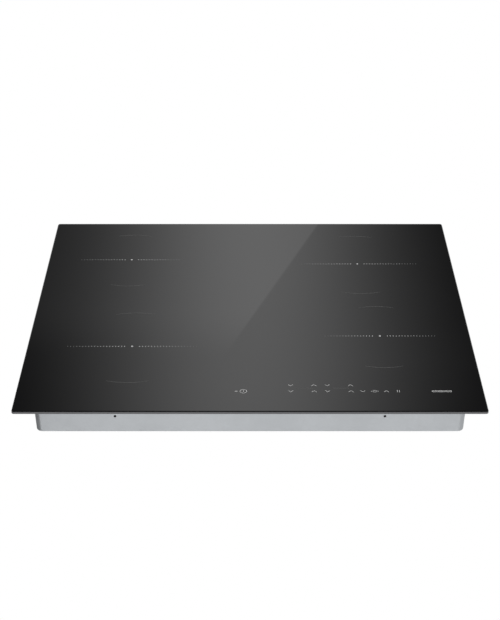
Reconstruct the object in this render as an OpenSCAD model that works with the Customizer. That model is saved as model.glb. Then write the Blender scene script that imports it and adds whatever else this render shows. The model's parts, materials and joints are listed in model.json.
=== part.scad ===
// Built-in induction hob with four cooking zones.
// Origin: centre of the tray's underside. +Z is up and the user stands at -Y.
// Every module draws its piece where it sits in the finished hob, in millimetres.

/* [Glass] */
// Width of the glass, left to right
glass_w = 595; // [592:1:600]
// Depth of the glass, front to back
glass_d = 520; // [516:1:524]
// Thickness of the glass
glass_t = 4; // [3.5:0.5:4.5]
// Width and height of the bevel ground round the glass's top edge
bevel = 1; // [0.5:0.25:1.5]
// Radius of the glass's corners in plan
glass_corner_r = 3.5; // [3:0.5:8]

/* [Casing] */
// Height of the whole hob, from the tray's floor to the top of the glass
hob_h = 51.5; // [51:0.5:54]
// Width of the tray at its floor
tray_w = 547; // [544:0.5:548]
// Depth of the tray at its floor
tray_d = 459.6; // [459:0.2:464]
// Thickness of the tray's sheet steel
sheet = 1; // [0.8:0.1:1.2]
// Outward lean of the tray's walls, in degrees
draft = 2; // [1:0.25:2.5]
// Radius of the tray's upright corners
tray_corner_r = 8; // [7:0.5:12]
// Radius of the bend between the tray's floor and walls
floor_bend_r = 1.5; // [1.5:0.5:3]
// Distance between the two clip holes in the front wall, and in the rear wall
clip_spacing = 343; // [300:1:360]
// Height of the clip holes above the tray's floor
clip_hole_z = 24.3; // [20:0.1:28]
// Radius of the clip holes
clip_hole_r = 1.75; // [1.5:0.05:2.25]

/* [Cooling] */
// Distance of each fan's axis from the hob's middle
fan_x = 150; // [148:0.5:152]
// Place of the fans, front to back
fan_y = -100; // [-101:0.5:-98]
// Radius of the fan wheel
wheel_r = 38; // [34:0.5:39]
// Number of blades on each fan wheel
blades = 31; // [19:2:37]
// Width of the slots punched for the cooling air
vent_w = 3; // [2:0.25:3.5]

/* [Coils] */
// Diameter of the litz wire bundle
litz_d = 3; // [2.6:0.1:3]
// Number of ferrite bars under each coil
ferrites = 8; // [6:1:8]

/* [Mains connection] */
// Radius of the cable spout's bore
cable_r = 6.5; // [5.5:0.25:6.5]
// Place of the cable spout, left to right
cable_x = 25; // [23:0.5:27]
// Height of the cable's axis above the tray's floor
cable_z = 12; // [11.5:0.5:12.5]
// Number of clamping screws in the terminal block
poles = 5; // [3:1:5]

/* [Hidden] */
$fn = 48;
CORNERS = ["rear_left", "front_left", "rear_right", "front_right"];
SIDES = ["left", "right"];
function named(stem, ends) = [for (e = ends) str(stem, "_", e)];

cut = 0.5;                                // how far a cutting shape runs past the face it cuts
glass_z = hob_h - glass_t;                // underside of the glass
lean = tan(draft);                        // outward growth of a wall per millimetre of height
function wall_x(z) = tray_w / 2 + lean * z;   // outer face of a side wall at a height
function wall_y(z) = tray_d / 2 + lean * z;   // outer face of the front or rear wall

// Cooking zones: middle across, middle front to back, printed radius
ZONES = [[-175, 141, 80], [-157.5, -105, 89], [158, 128, 89], [175.5, -78, 80]];

// Heights of the layers, from the tray's floor to the glass
dimple_h = 3;                             // top of the dimples that the carriers stand on
carrier_t = 2;                            // floor of a board carrier
board_z = dimple_h + carrier_t + 3;       // underside of the power and filter boards
board_t = 1.6;                            // thickness of every circuit board
parts_z = board_z + board_t;              // where the parts on those boards stand
deck_z = 30;                              // underside of the coil plate
deck_t = 1;
former_z = 35;                            // underside of the ferrite pockets
pocket_h = 3.5;
former_t = 1.5;
coil_z = former_z + pocket_h + former_t;  // where the winding lies
mat_z = coil_z + litz_d + 0.3;            // underside of the insulation mat
mat_top = glass_z - 0.1;

// Screws: [shank radius, head radius, head height]
M4 = [1.9, 3.8, 2.2];
TAPPING = [1.4, 3.2, 1.7];
screw_play = 0.2;                         // gap between a shank and its hole

POST_AT = [[-245, -176], [245, -176], [-245, 203], [245, 203], [-78, 203], [78, 203], [0, -120]];
RAIL_SCREW_Y = [-150, 0, 150];
rail_screw_z = 38;
rail_len = 360;
rail_leg_z = 25;                          // foot of a rail's upright leg
rail_t = 1.2;
bead_t = 0.6;
rail_x = wall_x(rail_leg_z) - sheet - 0.1;    // outer face of a rail's upright leg
rail_foot_w = 14;

// A carrier spans this box, in the left half of the hob
CARRIER_X = [-262, -62];
CARRIER_Y = [-158, 176];
BOARD_X = [-257, -67];
BOARD_Y = [-36, 172];
SINK_X = [-197, -141];
SINK_Y = [-33, 97];
sink_top = 28.6;
SIDE_SCREWS = [[-252, -148], [-72, -148], [-252, 166], [-72, 166]];
SIDE_PEGS = [[-247, -26], [-77, -26], [-247, 75], [-77, 108], [-230, 164], [-92, 164]];

// Terminal box and the filter board's bed in front of it
BOX_X = 48;                               // outer half width of the terminal box
BOX_Y = [162, 226.5];
box_roof = 26;                            // underside of its roof
box_t = 2;
BED_Y = [30, 162];
BED_X = 54;
FILTER_Y = [34, 152];
FILTER_X = 50;
MID_SCREWS = [[-46, 38], [46, 38], [-46, 148], [46, 148]];
MID_PEGS = [[-44, 52], [44, 52], [-44, 134], [44, 134]];
HATCH_X = 44;                             // half width of the hatch in the tray's floor
HATCH_Y = [166, 222];

// Hinge of the terminal cover
hinge_y = 171;
hinge_z = 3.2;
pin_r = 1.45;
pin_play = 0.05;

// Fan, measured from its axis and from the carrier's top face
fan_z = dimple_h + carrier_t;
fan_h = 24;
fan_wall = 1.5;
scroll_r = 46;
scroll_shift = 3;
outlet_r = 12;                            // right edge of the outlet
outlet_y = 56;
inlet_r = 30;

// Touch keys on the glass and the displays between them
KEYS = [[-8.4, -214.4],
        for (x = [52, 82, 99, 129], y = [-200.4, -214.4]) [x, y],
        [144, -214.4], [174, -214.4], [188.6, -214.4]];
DISPLAYS = [[67, -207.4, 18, 27], [114, -207.4, 18, 27], [159, -214.4, 16, 13]];
CONTROL_X = [-29, 207];
CONTROL_Y = [-221, -191];
control_z = 36;                           // underside of the control board

//------------------------------------------------------------------ shared shapes

// Rectangle with round corners, drawn from exact arcs
module rounded_rect(w, d, r) {
    square([w - 2 * r, d], center = true);
    square([w, d - 2 * r], center = true);
    for (x = [-1, 1], y = [-1, 1])
        translate([x * (w / 2 - r), y * (d / 2 - r)]) circle(r);
}

// Plate over the span [x0, x1] by [y0, y1], from height z0 to z1
module slab(x, y, z0, z1) {
    translate([x[0], y[0], z0]) cube([x[1] - x[0], y[1] - y[0], z1 - z0]);
}

// Upright disc or bore from height z0 to z1
module disc(r, z0, z1, at = [0, 0]) {
    translate([at[0], at[1], z0]) cylinder(r = r, h = z1 - z0);
}

// Upright ring
module ring(outer, inner, z0, z1, at = [0, 0]) {
    difference() {
        disc(outer, z0, z1, at);
        disc(inner, z0 - cut, z1 + cut, at);
    }
}

// Slot with round ends, l long overall, lying along X
module slot(l, w) {
    square([l - w, w], center = true);
    for (x = [-1, 1]) translate([x * (l - w) / 2, 0]) circle(w / 2);
}

// The left half's pieces are drawn as they are, and the right half's are their mirror image
module on_side(side) {
    if (side == "left") children();
    else mirror([1, 0, 0]) children();
}

// Screw standing on its tip: its head's lower face at the origin, its shank along -Z, cross recess on top
module screw(size, l) {
    difference() {
        union() {
            disc(size[1], 0, size[2]);
            disc(size[0], -l, 0);
        }
        for (a = [0, 90]) rotate(a)
            translate([-size[1] * 0.6, -0.4, size[2] * 0.45]) cube([size[1] * 1.2, 0.8, size[2]]);
    }
}

//------------------------------------------------------------------ glass and casing

module glass_plate() {
    color("#17181a") translate([0, 0, glass_z]) hull() {
        linear_extrude(glass_t - bevel) rounded_rect(glass_w, glass_d, glass_corner_r);
        translate([0, 0, glass_t - 0.01]) linear_extrude(0.01)
            rounded_rect(glass_w - 2 * bevel, glass_d - 2 * bevel, glass_corner_r - bevel / 2);
    }
}

seal_inset = 4;                           // from the glass's edge to the seal
seal_w = 8;
seal_t = 2.2;
module worktop_seal() {
    outer = [glass_w - 2 * seal_inset, glass_d - 2 * seal_inset];
    color("#222222") translate([0, 0, glass_z - seal_t]) difference() {
        linear_extrude(seal_t) rounded_rect(outer[0], outer[1], 6);
        translate([0, 0, -cut]) linear_extrude(seal_t + 2 * cut)
            rounded_rect(outer[0] - 2 * seal_w, outer[1] - 2 * seal_w, 2);
    }
}

// Pan whose walls lean outward and whose floor meets them in a bend of radius r
module pan(inset, r, low, high) {
    hull() {
        for (a = [0:15:90]) {
            z = low + r * (1 - cos(a));
            in = inset + r * (1 - sin(a));
            translate([0, 0, z]) linear_extrude(0.01)
                rounded_rect(2 * (wall_x(z) - in), 2 * (wall_y(z) - in), tray_corner_r - in);
        }
        translate([0, 0, high - 0.01]) linear_extrude(0.01)
            rounded_rect(2 * (wall_x(high) - inset), 2 * (wall_y(high) - inset), tray_corner_r - inset);
    }
}

// Where a carrier or the terminal box is screwed down, over the whole floor
DIMPLES = concat(SIDE_SCREWS, [for (p = SIDE_SCREWS) [-p[0], p[1]]], MID_SCREWS);
dimple_r = 8;
grille_r = 34;
grille_pitch = 6;
rear_slot_l = 18;
rear_slot_pitch = 8;
rear_slot_z = 26;                         // middle of the slots in the rear wall
// The slots stop on both sides of each worktop clip
REAR_SLOTS = [for (x = [80:rear_slot_pitch:232]) if (abs(x - clip_spacing / 2) > 6) x];
bead_w = 9;
bead_h = 0.7;
// Stiffening beads pressed into the floor: middle across, middle front to back, length along X
FLOOR_BEADS = [for (y = [-187, -171]) [0, y, 420], for (y = [-20, -50, -80]) [0, y, 76]];

module floor_bead(grow, z0, z1) {
    for (b = FLOOR_BEADS) translate([b[0], b[1], z0]) linear_extrude(z1 - z0)
        slot(b[2] + 2 * grow, bead_w + 2 * grow);
}

module fan_grille() {
    rows = floor(grille_r / grille_pitch);
    for (k = [-rows:rows]) {
        chord = sqrt(grille_r * grille_r - pow(k * grille_pitch, 2));
        l = chord - 1.5;
        if (l > 2 * vent_w) for (s = [-1, 1])
            translate([s * (1.5 + l / 2), k * grille_pitch]) slot(l, vent_w);
    }
}

module tray_holes() {
    for (s = [-1, 1]) {
        for (x = [-1, 1]) translate([x * clip_spacing / 2, s * wall_y(0), clip_hole_z])
            rotate([90, 0, 0]) translate([0, 0, -5]) cylinder(r = clip_hole_r, h = 10);
        for (y = RAIL_SCREW_Y) translate([s * wall_x(0), y, rail_screw_z])
            rotate([0, 90, 0]) translate([0, 0, -5]) cylinder(r = M4[0] + screw_play, h = 10);
        translate([s * fan_x, fan_y, -cut]) linear_extrude(sheet + 2 * cut) fan_grille();
        for (x = REAR_SLOTS) translate([s * x, wall_y(0), rear_slot_z])
            rotate([90, 90, 0]) translate([0, 0, -5]) linear_extrude(10) slot(rear_slot_l, vent_w);
    }
    slab([-HATCH_X, HATCH_X], HATCH_Y, -cut, sheet + cut);
    translate([cable_x, wall_y(0), cable_z]) rotate([90, 0, 0])
        translate([0, 0, -5]) cylinder(r = cable_r + 1.8, h = 10);
    for (p = DIMPLES) {
        disc(dimple_r - sheet, -cut, dimple_h - sheet, p);
        disc(TAPPING[0] + screw_play, 0, dimple_h + cut, p);
    }
    floor_bead(-sheet / 2, -cut, bead_h);
}

module base_tray() {
    color("#b3b7ba") difference() {
        union() {
            difference() {
                pan(0, floor_bend_r, 0, glass_z - 0.1);
                pan(sheet, floor_bend_r - sheet, sheet, glass_z + 1);
            }
            for (p = DIMPLES) disc(dimple_r, sheet / 2, dimple_h, p);
            floor_bead(sheet / 2, sheet / 2, sheet + bead_h);
        }
        tray_holes();
    }
}

// Angle of sheet steel bonded under the glass, which the tray is screwed to
module glass_rail(side) {
    top = glass_z - bead_t;
    color("#a5a8ab") on_side(side) difference() {
        union() {
            slab([-rail_x, -rail_x + rail_t], [-rail_len / 2, rail_len / 2], rail_leg_z, top);
            slab([-rail_x, -rail_x + rail_foot_w], [-rail_len / 2, rail_len / 2], top - rail_t, top);
        }
        for (y = RAIL_SCREW_Y) translate([-rail_x - cut, y, rail_screw_z])
            rotate([0, 90, 0]) cylinder(r = M4[0] + 0.1, h = rail_t + 2 * cut);
    }
}

module adhesive_beads() {
    color("#101010") for (s = SIDES) on_side(s)
        slab([-rail_x + 3, -rail_x + 11], [-rail_len / 2 + 6, rail_len / 2 - 6], glass_z - bead_t, glass_z);
}

module rail_screws() {
    head_x = wall_x(rail_screw_z + M4[1]) + 0.02;
    color("#c8c8c8") for (s = SIDES) on_side(s) for (y = RAIL_SCREW_Y)
        translate([-head_x, y, rail_screw_z]) rotate([0, -90, 0]) screw(M4, 6);
}

module floor_screws() {
    color("#c8c8c8") for (p = DIMPLES)
        translate([p[0], p[1], dimple_h - sheet]) mirror([0, 0, 1]) screw(TAPPING, 4.5);
}

//------------------------------------------------------------------ coil deck

post_r = 6;
module deck_posts() {
    color("#2d2f33") for (p = POST_AT) difference() {
        union() {
            disc(post_r, sheet, deck_z, p);
            disc(post_r + 3, sheet, sheet + 2, p);
        }
        disc(TAPPING[0] + 0.1, deck_z - 14, deck_z + cut, p);
    }
}

module deck_screws() {
    color("#c8c8c8") for (p = POST_AT)
        translate([p[0], p[1], deck_z + deck_t]) screw(TAPPING, 10);
}

DECK_Y = [-200, 224];
DECK_X = 262;
NOTCH_X = [-40, 218];                     // clear of the control bracket
notch_y = -182;
// Where each coil's leads pass down through the plate
LEAD_HOLES = [[-72, 97], [-54, -61], [72, 62], [81, -40]];
lead_hole_r = 9;
sensor_pass_r = 13;                       // hole in the plate below each coil's sensor
module coil_plate() {
    color("#c3c7cb") difference() {
        slab([-DECK_X, DECK_X], DECK_Y, deck_z, deck_z + deck_t);
        slab(NOTCH_X, [DECK_Y[0] - cut, notch_y], deck_z - cut, deck_z + deck_t + cut);
        for (p = POST_AT) disc(TAPPING[0] + screw_play, deck_z - cut, deck_z + deck_t + cut, p);
        for (z = ZONES) disc(sensor_pass_r, deck_z - cut, deck_z + deck_t + cut, z);
        for (p = LEAD_HOLES) disc(lead_hole_r, deck_z - cut, deck_z + deck_t + cut, p);
    }
}

sensor_hole_r = 9;
hub_r = 16;
bar_w = 12;
bar_in = 26;
pocket_wall = 1.2;
function bar_out(z) = z[2] - 8;
function bar_angle(k) = (k + 0.5) * 360 / ferrites;

module coil_former(z) {
    color("#e6e2d6") translate([z[0], z[1], 0]) difference() {
        union() {
            disc(z[2] + 1, coil_z - former_t, coil_z);
            ring(z[2] + 1, z[2] - 0.5, coil_z - cut, coil_z + 2.5);
            ring(hub_r, hub_r - 1.5, coil_z - cut, coil_z + 2.5);
            for (k = [0:ferrites - 1]) rotate(bar_angle(k)) difference() {
                slab([bar_in - pocket_wall, bar_out(z) + pocket_wall],
                     [-bar_w / 2 - 0.2 - pocket_wall, bar_w / 2 + 0.2 + pocket_wall],
                     former_z, coil_z - former_t + 0.1);
                slab([bar_in, bar_out(z)], [-bar_w / 2 - 0.2, bar_w / 2 + 0.2],
                     former_z - cut, coil_z - former_t + 1);
            }
        }
        disc(sensor_hole_r, coil_z - former_t - cut, coil_z + cut);
        translate([hub_r + 3, 0, 0]) disc(2, coil_z - former_t - cut, coil_z + cut);
    }
}

wind_in = 18;
litz_pitch = litz_d * 0.96;
function turns(z) = floor((z[2] - 1 - wind_in - litz_d) / litz_pitch) + 1;
module coil_winding(z) {
    color("#b5703c") translate([z[0], z[1], coil_z + litz_d / 2 + 0.1]) rotate_extrude()
        for (k = [0:turns(z) - 1])
            translate([wind_in + litz_d / 2 + k * litz_pitch, 0]) circle(litz_d / 2, $fn = 24);
}

module ferrite_bars(z) {
    color("#3a3b3f") translate([z[0], z[1], 0]) for (k = [0:ferrites - 1]) rotate(bar_angle(k))
        slab([bar_in + 0.5, bar_out(z) - 0.5], [-bar_w / 2, bar_w / 2],
             former_z + 0.2, coil_z - former_t);
}

module insulation_mat(z) {
    color("#e9e6dc") ring(z[2] - 1, hub_r + 1, mat_z, mat_top, z);
}

module coil_sensors() {
    color("#d9d9d9") for (z = ZONES) {
        disc(8, coil_z - 5, mat_top - 3, z);
        disc(12, coil_z, coil_z + 1.4, z);
        disc(5.5, mat_top - 3.5, mat_top, z);
    }
}

spring_r = 55;
spring_w = 8;
spring_t = 0.4;
// Bent strip: flat feet on the plate, flat crown under the former
module coil_spring() {
    half = [[-15, 0], [-11, 0], [-4, coil_z - former_t - deck_z - deck_t - spring_t]];
    under = concat(half, [for (k = [2:-1:0]) [-half[k][0], half[k][1]]]);
    over = [for (k = [5:-1:0]) [under[k][0], under[k][1] + spring_t]];
    translate([0, spring_w / 2, deck_z + deck_t]) rotate([90, 0, 0])
        linear_extrude(spring_w) polygon(concat(under, over));
}
module coil_springs() {
    color("#9da0a3") for (z = ZONES, k = [2, 4, 7])
        translate([z[0], z[1], 0]) rotate(k * 360 / ferrites) translate([spring_r, 0, 0]) coil_spring();
}

// Tube of radius r along a smooth curve through the points, closed at both ends
function curve_point(p, k, t) =
    let (a = p[max(k - 1, 0)], b = p[k], c = p[k + 1], d = p[min(k + 2, len(p) - 1)])
    0.5 * (2 * b + (c - a) * t + (2 * a - 5 * b + 4 * c - d) * t * t + (3 * b - a - 3 * c + d) * t * t * t);
function curve(p, steps) = concat(
    [for (k = [0:len(p) - 2], s = [0:steps - 1]) curve_point(p, k, s / steps)], [p[len(p) - 1]]);
function unit(v) = v / norm(v);
function heading(c, k) = unit(c[min(k + 1, len(c) - 1)] - c[max(k - 1, 0)]);
function across(d, side) = unit(side - d * (side * d));
module tube(points, r, side, sides = 6, steps = 3) {
    c = curve(points, steps);
    n = len(c);
    rings = [for (k = [0:n - 1]) let (d = heading(c, k), u = across(d, side), v = cross(d, u))
        for (s = [0:sides - 1]) c[k] + r * (cos(s * 360 / sides) * u + sin(s * 360 / sides) * v)];
    walls = [for (k = [0:n - 2], s = [0:sides - 1]) let (t = (s + 1) % sides)
        [k * sides + s, (k + 1) * sides + s, (k + 1) * sides + t, k * sides + t]];
    polyhedron(rings, concat([[for (s = [0:sides - 1]) s]], walls,
        [[for (s = [sides - 1:-1:0]) (n - 1) * sides + s]]));
}

lead_r = 1.3;
lead_run = deck_z + deck_t + 1.7;         // height of the leads between the plate and the formers
LEAD_ROUTES = [
    [[-152, 141, lead_run], [-120, 128, lead_run], [-84, 104, lead_run],
     [-70, 95, 30], [-71, 94, 22], [-82, 92, 15]],
    [[-134, -105, lead_run], [-100, -92, lead_run], [-64, -68, lead_run],
     [-52, -60, 30], [-56, -50, 22], [-80, -14, 15]],
    [[135, 128, lead_run], [112, 96, lead_run], [80, 66, lead_run],
     [70, 61, 30], [71, 64, 22], [82, 92, 15]],
    [[152.5, -78, lead_run], [124, -57, lead_run], [90, -43, lead_run],
     [79, -39, 30], [76, -36, 22], [84, -14, 15]]
];
module coil_leads() {
    color("#c9472b") for (route = LEAD_ROUTES) {
        run = route[3] - route[0];
        side = unit([-run[1], run[0], 0]);
        end = route[len(route) - 1];
        for (s = [-1, 1]) tube([for (p = route) p + s * 1.6 * side], lead_r, side);
        slab([end[0] - 3, end[0] + 3], [end[1] - 3, end[1] + 3], parts_z, end[2] - 0.4);
    }
}

//------------------------------------------------------------------ power electronics

module screw_boss(p, top) {
    disc(4.5, dimple_h, top, p);
}
module screw_pilot(p) {
    disc(TAPPING[0] + 0.1, dimple_h - cut, dimple_h + 4, p);
}
module peg(p) {
    disc(3, dimple_h, board_z, p);
    disc(1.4, board_z - cut, parts_z + 1, p);
}

clip_t = 2;
module board_carrier(side) {
    floor_top = dimple_h + carrier_t;
    color("#26282b") on_side(side) difference() {
        union() {
            slab(CARRIER_X, CARRIER_Y, dimple_h, floor_top);
            difference() {
                slab(CARRIER_X, CARRIER_Y, dimple_h, floor_top + 2);
                slab([CARRIER_X[0] + 1.5, CARRIER_X[1] - 1.5], [CARRIER_Y[0] + 1.5, CARRIER_Y[1] - 1.5],
                     dimple_h - cut, floor_top + 3);
            }
            for (p = SIDE_SCREWS) screw_boss(p, board_z);
            for (p = SIDE_PEGS) peg(p);
            for (a = [180, 250, 320]) translate([-fan_x - scroll_shift, fan_y, 0]) rotate(a) {
                slab([scroll_r + 0.3, scroll_r + 0.3 + clip_t], [-4, 4], dimple_h, fan_z + fan_h + 0.8);
                slab([scroll_r - 1.2, scroll_r + 0.3 + clip_t], [-4, 4],
                     fan_z + fan_h + 0.05, fan_z + fan_h + 0.8);
            }
        }
        disc(40, dimple_h - cut, floor_top + cut, [-fan_x, fan_y]);
        for (p = SIDE_SCREWS) screw_pilot(p);
    }
}

module power_board(side) {
    color("#2f6b3a") on_side(side) difference() {
        slab(BOARD_X, BOARD_Y, board_z, parts_z);
        for (p = SIDE_PEGS) disc(1.6, board_z - cut, parts_z + cut, p);
    }
}

fins = 9;
module heat_sink(side) {
    w = SINK_X[1] - SINK_X[0];
    h = sink_top - parts_z;
    side_t = 4;
    pitch = (w - side_t) / (fins + 1);
    color("#b9bcc0") on_side(side)
        translate([SINK_X[0], SINK_Y[1], parts_z]) rotate([90, 0, 0]) linear_extrude(SINK_Y[1] - SINK_Y[0]) {
            square([w, 3.5]);
            for (x = [0, w - side_t]) translate([x, 0]) square([side_t, h]);
            for (k = [1:fins]) translate([side_t / 2 + k * pitch - 0.8, 0]) square([1.6, h]);
        }
}

// Transistors stand against the heat sink's outer walls: place along Y, on the left or right wall
TRANSISTORS = [[-12, 0], [28, 0], [68, 0], [-12, 1], [28, 1]];
module transistor(at_y, wall) {
    w = 16;
    t = 4.8;
    x = wall ? SINK_X[1] : SINK_X[0] - t;
    difference() {
        slab([x, x + t], [at_y - w / 2, at_y + w / 2], parts_z + 1.4, parts_z + 18.4);
        translate([x - cut, at_y, parts_z + 14.8]) rotate([0, 90, 0]) cylinder(r = 1.8, h = t + 2 * cut);
    }
    for (k = [-1:1]) slab([x + 2, x + 2.8], [at_y + 5 * k - 0.7, at_y + 5 * k + 0.7], parts_z, parts_z + 1.6);
}
module power_transistors() {
    color("#1d1d1f") for (s = SIDES) on_side(s) for (q = TRANSISTORS) transistor(q[0], q[1] == 1);
}

// Box film capacitors: middle across, middle front to back, width, depth, height
SIDE_CAPS = [[-228, 4, 32, 18, 17], [-228, 30, 32, 18, 17], [-228, 56, 32, 18, 17],
             [-104, 2, 42, 20, 18], [-104, 28, 42, 20, 18], [-104, 54, 32, 15, 16]];
MID_CAPS = [[-24, 142, 28, 12, 17], [20, 142, 28, 12, 17]];
module film_capacitor(c) {
    difference() {
        slab([c[0] - c[2] / 2, c[0] + c[2] / 2], [c[1] - c[3] / 2, c[1] + c[3] / 2],
             parts_z + 0.6, parts_z + c[4]);
        slab([c[0] - c[2] / 2 + 1, c[0] + c[2] / 2 - 1], [c[1] - c[3] / 2 + 1, c[1] + c[3] / 2 - 1],
             parts_z, parts_z + 1.2);
    }
    for (s = [-1, 1]) disc(0.5, parts_z, parts_z + 1.4, [c[0] + s * (c[2] / 2 - 3), c[1]]);
}
module film_capacitors() {
    color("#2b5f9e") {
        for (s = SIDES) on_side(s) for (c = SIDE_CAPS) film_capacitor(c);
        for (c = MID_CAPS) film_capacitor(c);
    }
}

// Switching transformer: yellow-taped winding between the two halves of its core
TRANSFORMER_AT = [-110, 140];
module supply_transformers() {
    color("#d8b13c") for (s = SIDES) on_side(s) translate([TRANSFORMER_AT[0], TRANSFORMER_AT[1], 0]) {
        slab([-13, 13], [-11, 11], parts_z, parts_z + 3);
        slab([-9, 9], [-10, 10], parts_z + 2.5, parts_z + 14);
        difference() {
            slab([-12.5, 12.5], [-4, 4], parts_z + 2.5, parts_z + 17);
            slab([-9.5, 9.5], [-5, 5], parts_z + 5, parts_z + 14);
        }
    }
}

module filter_board() {
    color("#2f6b3a") difference() {
        slab([-FILTER_X, FILTER_X], FILTER_Y, board_z, parts_z);
        for (p = MID_PEGS) disc(1.6, board_z - cut, parts_z + cut, p);
    }
}

// Ring cores lying on the filter board, each with two windings
CHOKES = [[0, 62], [0, 108]];
core_in = 9;
core_out = 17;
core_h = 12;
wrap_t = 1.6;
module filter_chokes() {
    color("#8c5a2b") for (p = CHOKES) translate([p[0], p[1], parts_z + wrap_t + 0.2]) {
        ring(core_out, core_in, 0, core_h);
        for (a = [-65, 115]) rotate(a) rotate_extrude(angle = 130) difference() {
            translate([core_in - wrap_t, -wrap_t])
                square([core_out - core_in + 2 * wrap_t, core_h + 2 * wrap_t]);
            translate([core_in - 0.1, -0.1]) square([core_out - core_in + 0.2, core_h + 0.2]);
        }
    }
}

//------------------------------------------------------------------ mains connection

spout_out = wall_y(cable_z) + 1.8;
clamp_y = 209;
clamp_reach = 12;                         // from the cable's axis to each clamp screw
module terminal_box() {
    floor_top = dimple_h + carrier_t;
    color("#2a2c2f") difference() {
        union() {
            slab([-BED_X, BED_X], BED_Y, dimple_h, floor_top);
            for (p = MID_SCREWS) screw_boss(p, board_z);
            for (p = MID_PEGS) peg(p);
            difference() {
                slab([-BOX_X, BOX_X], BOX_Y, sheet, box_roof + box_t);
                slab([-BOX_X + box_t, BOX_X - box_t], [BOX_Y[0] + box_t, BOX_Y[1] - box_t], 0, box_roof);
            }
            translate([cable_x, BOX_Y[1] - box_t, cable_z]) rotate([-90, 0, 0])
                cylinder(r = cable_r + 1.5, h = spout_out - BOX_Y[1] + box_t);
            for (s = [-1, 1]) disc(4, cable_z - 3, box_roof + cut, [cable_x + s * clamp_reach, clamp_y]);
            slab([cable_x - 5, cable_x + 5], [clamp_y - 3, clamp_y + 3], cable_z + 6.2, box_roof + cut);
        }
        translate([cable_x, BOX_Y[1] - box_t - cut, cable_z]) rotate([-90, 0, 0])
            cylinder(r = cable_r, h = 20);
        for (s = [-1, 1]) disc(TAPPING[0] + 0.1, 0, cable_z + 8, [cable_x + s * clamp_reach, clamp_y]);
        for (p = MID_SCREWS) screw_pilot(p);
        for (s = [-1, 1]) translate([s * (BOX_X - box_t - cut), hinge_y, hinge_z])
            rotate([0, s * 90, 0]) cylinder(r = pin_r + pin_play, h = box_t + 2 * cut);
        slab([-38, 8], [BOX_Y[0] - cut, BOX_Y[0] + box_t + cut], 12, 19);
    }
}

pole_pitch = 10;
block_x = -17;                            // middle of the terminal block
BLOCK_Y = [181, 203];
block_z = 10;
function pole_x(k) = block_x + (k - (poles - 1) / 2) * pole_pitch;
module terminal_block() {
    half = poles * pole_pitch / 2 + 1;
    color("#e8e6df") difference() {
        slab([block_x - half, block_x + half], BLOCK_Y, block_z, box_roof);
        for (k = [0:poles - 1]) {
            for (y = [BLOCK_Y[0] + 5, BLOCK_Y[1] - 5]) disc(2.6, block_z - cut, box_roof - 4, [pole_x(k), y]);
            translate([pole_x(k), BLOCK_Y[0] - cut, box_roof - 6]) rotate([-90, 0, 0])
                cylinder(r = 2.2, h = BLOCK_Y[1] - BLOCK_Y[0] + 2 * cut);
        }
        for (k = [0:poles - 2])
            slab([pole_x(k) + 4.4, pole_x(k) + 5.6], [BLOCK_Y[0] - cut, BLOCK_Y[1] + cut],
                 block_z - cut, block_z + 2);
    }
}

module terminal_screws() {
    color("#c9b26a") for (k = [0:poles - 1], y = [BLOCK_Y[0] + 5, BLOCK_Y[1] - 5]) difference() {
        disc(2.4, block_z + 2, box_roof - 9, [pole_x(k), y]);
        slab([pole_x(k) - 3, pole_x(k) + 3], [y - 0.4, y + 0.4], block_z + 1, block_z + 3);
    }
}

COVER_X = 42;
COVER_Y = [168.5, 220.5];
cover_z = 0.6;
cover_t = 2;
module terminal_cover() {
    color("#2a2c2f") difference() {
        union() {
            slab([-COVER_X, COVER_X], COVER_Y, cover_z, cover_z + cover_t);
            translate([-COVER_X, hinge_y, hinge_z]) rotate([0, 90, 0]) cylinder(r = 2.2, h = 2 * COVER_X);
            translate([-BOX_X + 0.5, hinge_y, hinge_z]) rotate([0, 90, 0])
                cylinder(r = pin_r, h = 2 * BOX_X - 1);
            for (x = [-15, 15]) {
                slab([x - 4, x + 4], [COVER_Y[1] - 1.6, COVER_Y[1]], cover_z + 1, 8);
                slab([x - 4, x + 4], [COVER_Y[1] - 1.6, COVER_Y[1] + 1], 2.2, 3.4);
            }
            for (x = [-30, 0, 30]) slab([x - 0.6, x + 0.6], [175, 215], cover_z + 1, cover_z + cover_t + 0.3);
        }
        slab([-6, 6], [COVER_Y[1] - 2.5, COVER_Y[1] + cut], cover_z - cut, cover_z + cover_t + cut);
        for (x = [-24:6:24]) slab([x - 1, x + 1], [178, 196], cover_z - cut, cover_z + 0.5);
    }
}

module cable_clamp() {
    color("#2a2c2f") difference() {
        slab([cable_x - clamp_reach - 5, cable_x + clamp_reach + 5], [clamp_y - 4, clamp_y + 4],
             cable_z - 7, cable_z - 3);
        translate([cable_x, clamp_y - 5, cable_z]) rotate([-90, 0, 0]) cylinder(r = 6, h = 10);
        for (s = [-1, 1]) disc(TAPPING[0] + screw_play, 0, cable_z, [cable_x + s * clamp_reach, clamp_y]);
    }
}

module clamp_screws() {
    color("#c8c8c8") for (s = [-1, 1])
        translate([cable_x + s * clamp_reach, clamp_y, cable_z - 7]) mirror([0, 0, 1]) screw(TAPPING, 14);
}

//------------------------------------------------------------------ fans

module fan_outline(grow) {
    translate([-scroll_shift, 0]) circle(scroll_r + grow);
    translate([-scroll_shift - scroll_r - grow, 0])
        square([scroll_shift + scroll_r + outlet_r + 2 * grow, outlet_y]);
}

module at_fan(side) {
    on_side(side) translate([-fan_x, fan_y, fan_z]) children();
}

module fan_housing(side) {
    color("#1f2124") at_fan(side) difference() {
        linear_extrude(fan_h - fan_wall) fan_outline(0);
        translate([0, 0, fan_wall]) linear_extrude(fan_h) {
            fan_outline(-fan_wall);
            translate([-scroll_shift - scroll_r + fan_wall, outlet_y - 5])
                square([scroll_shift + scroll_r + outlet_r - 2 * fan_wall, 10]);
        }
        disc(inlet_r, -cut, fan_wall + cut);
    }
}

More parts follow.
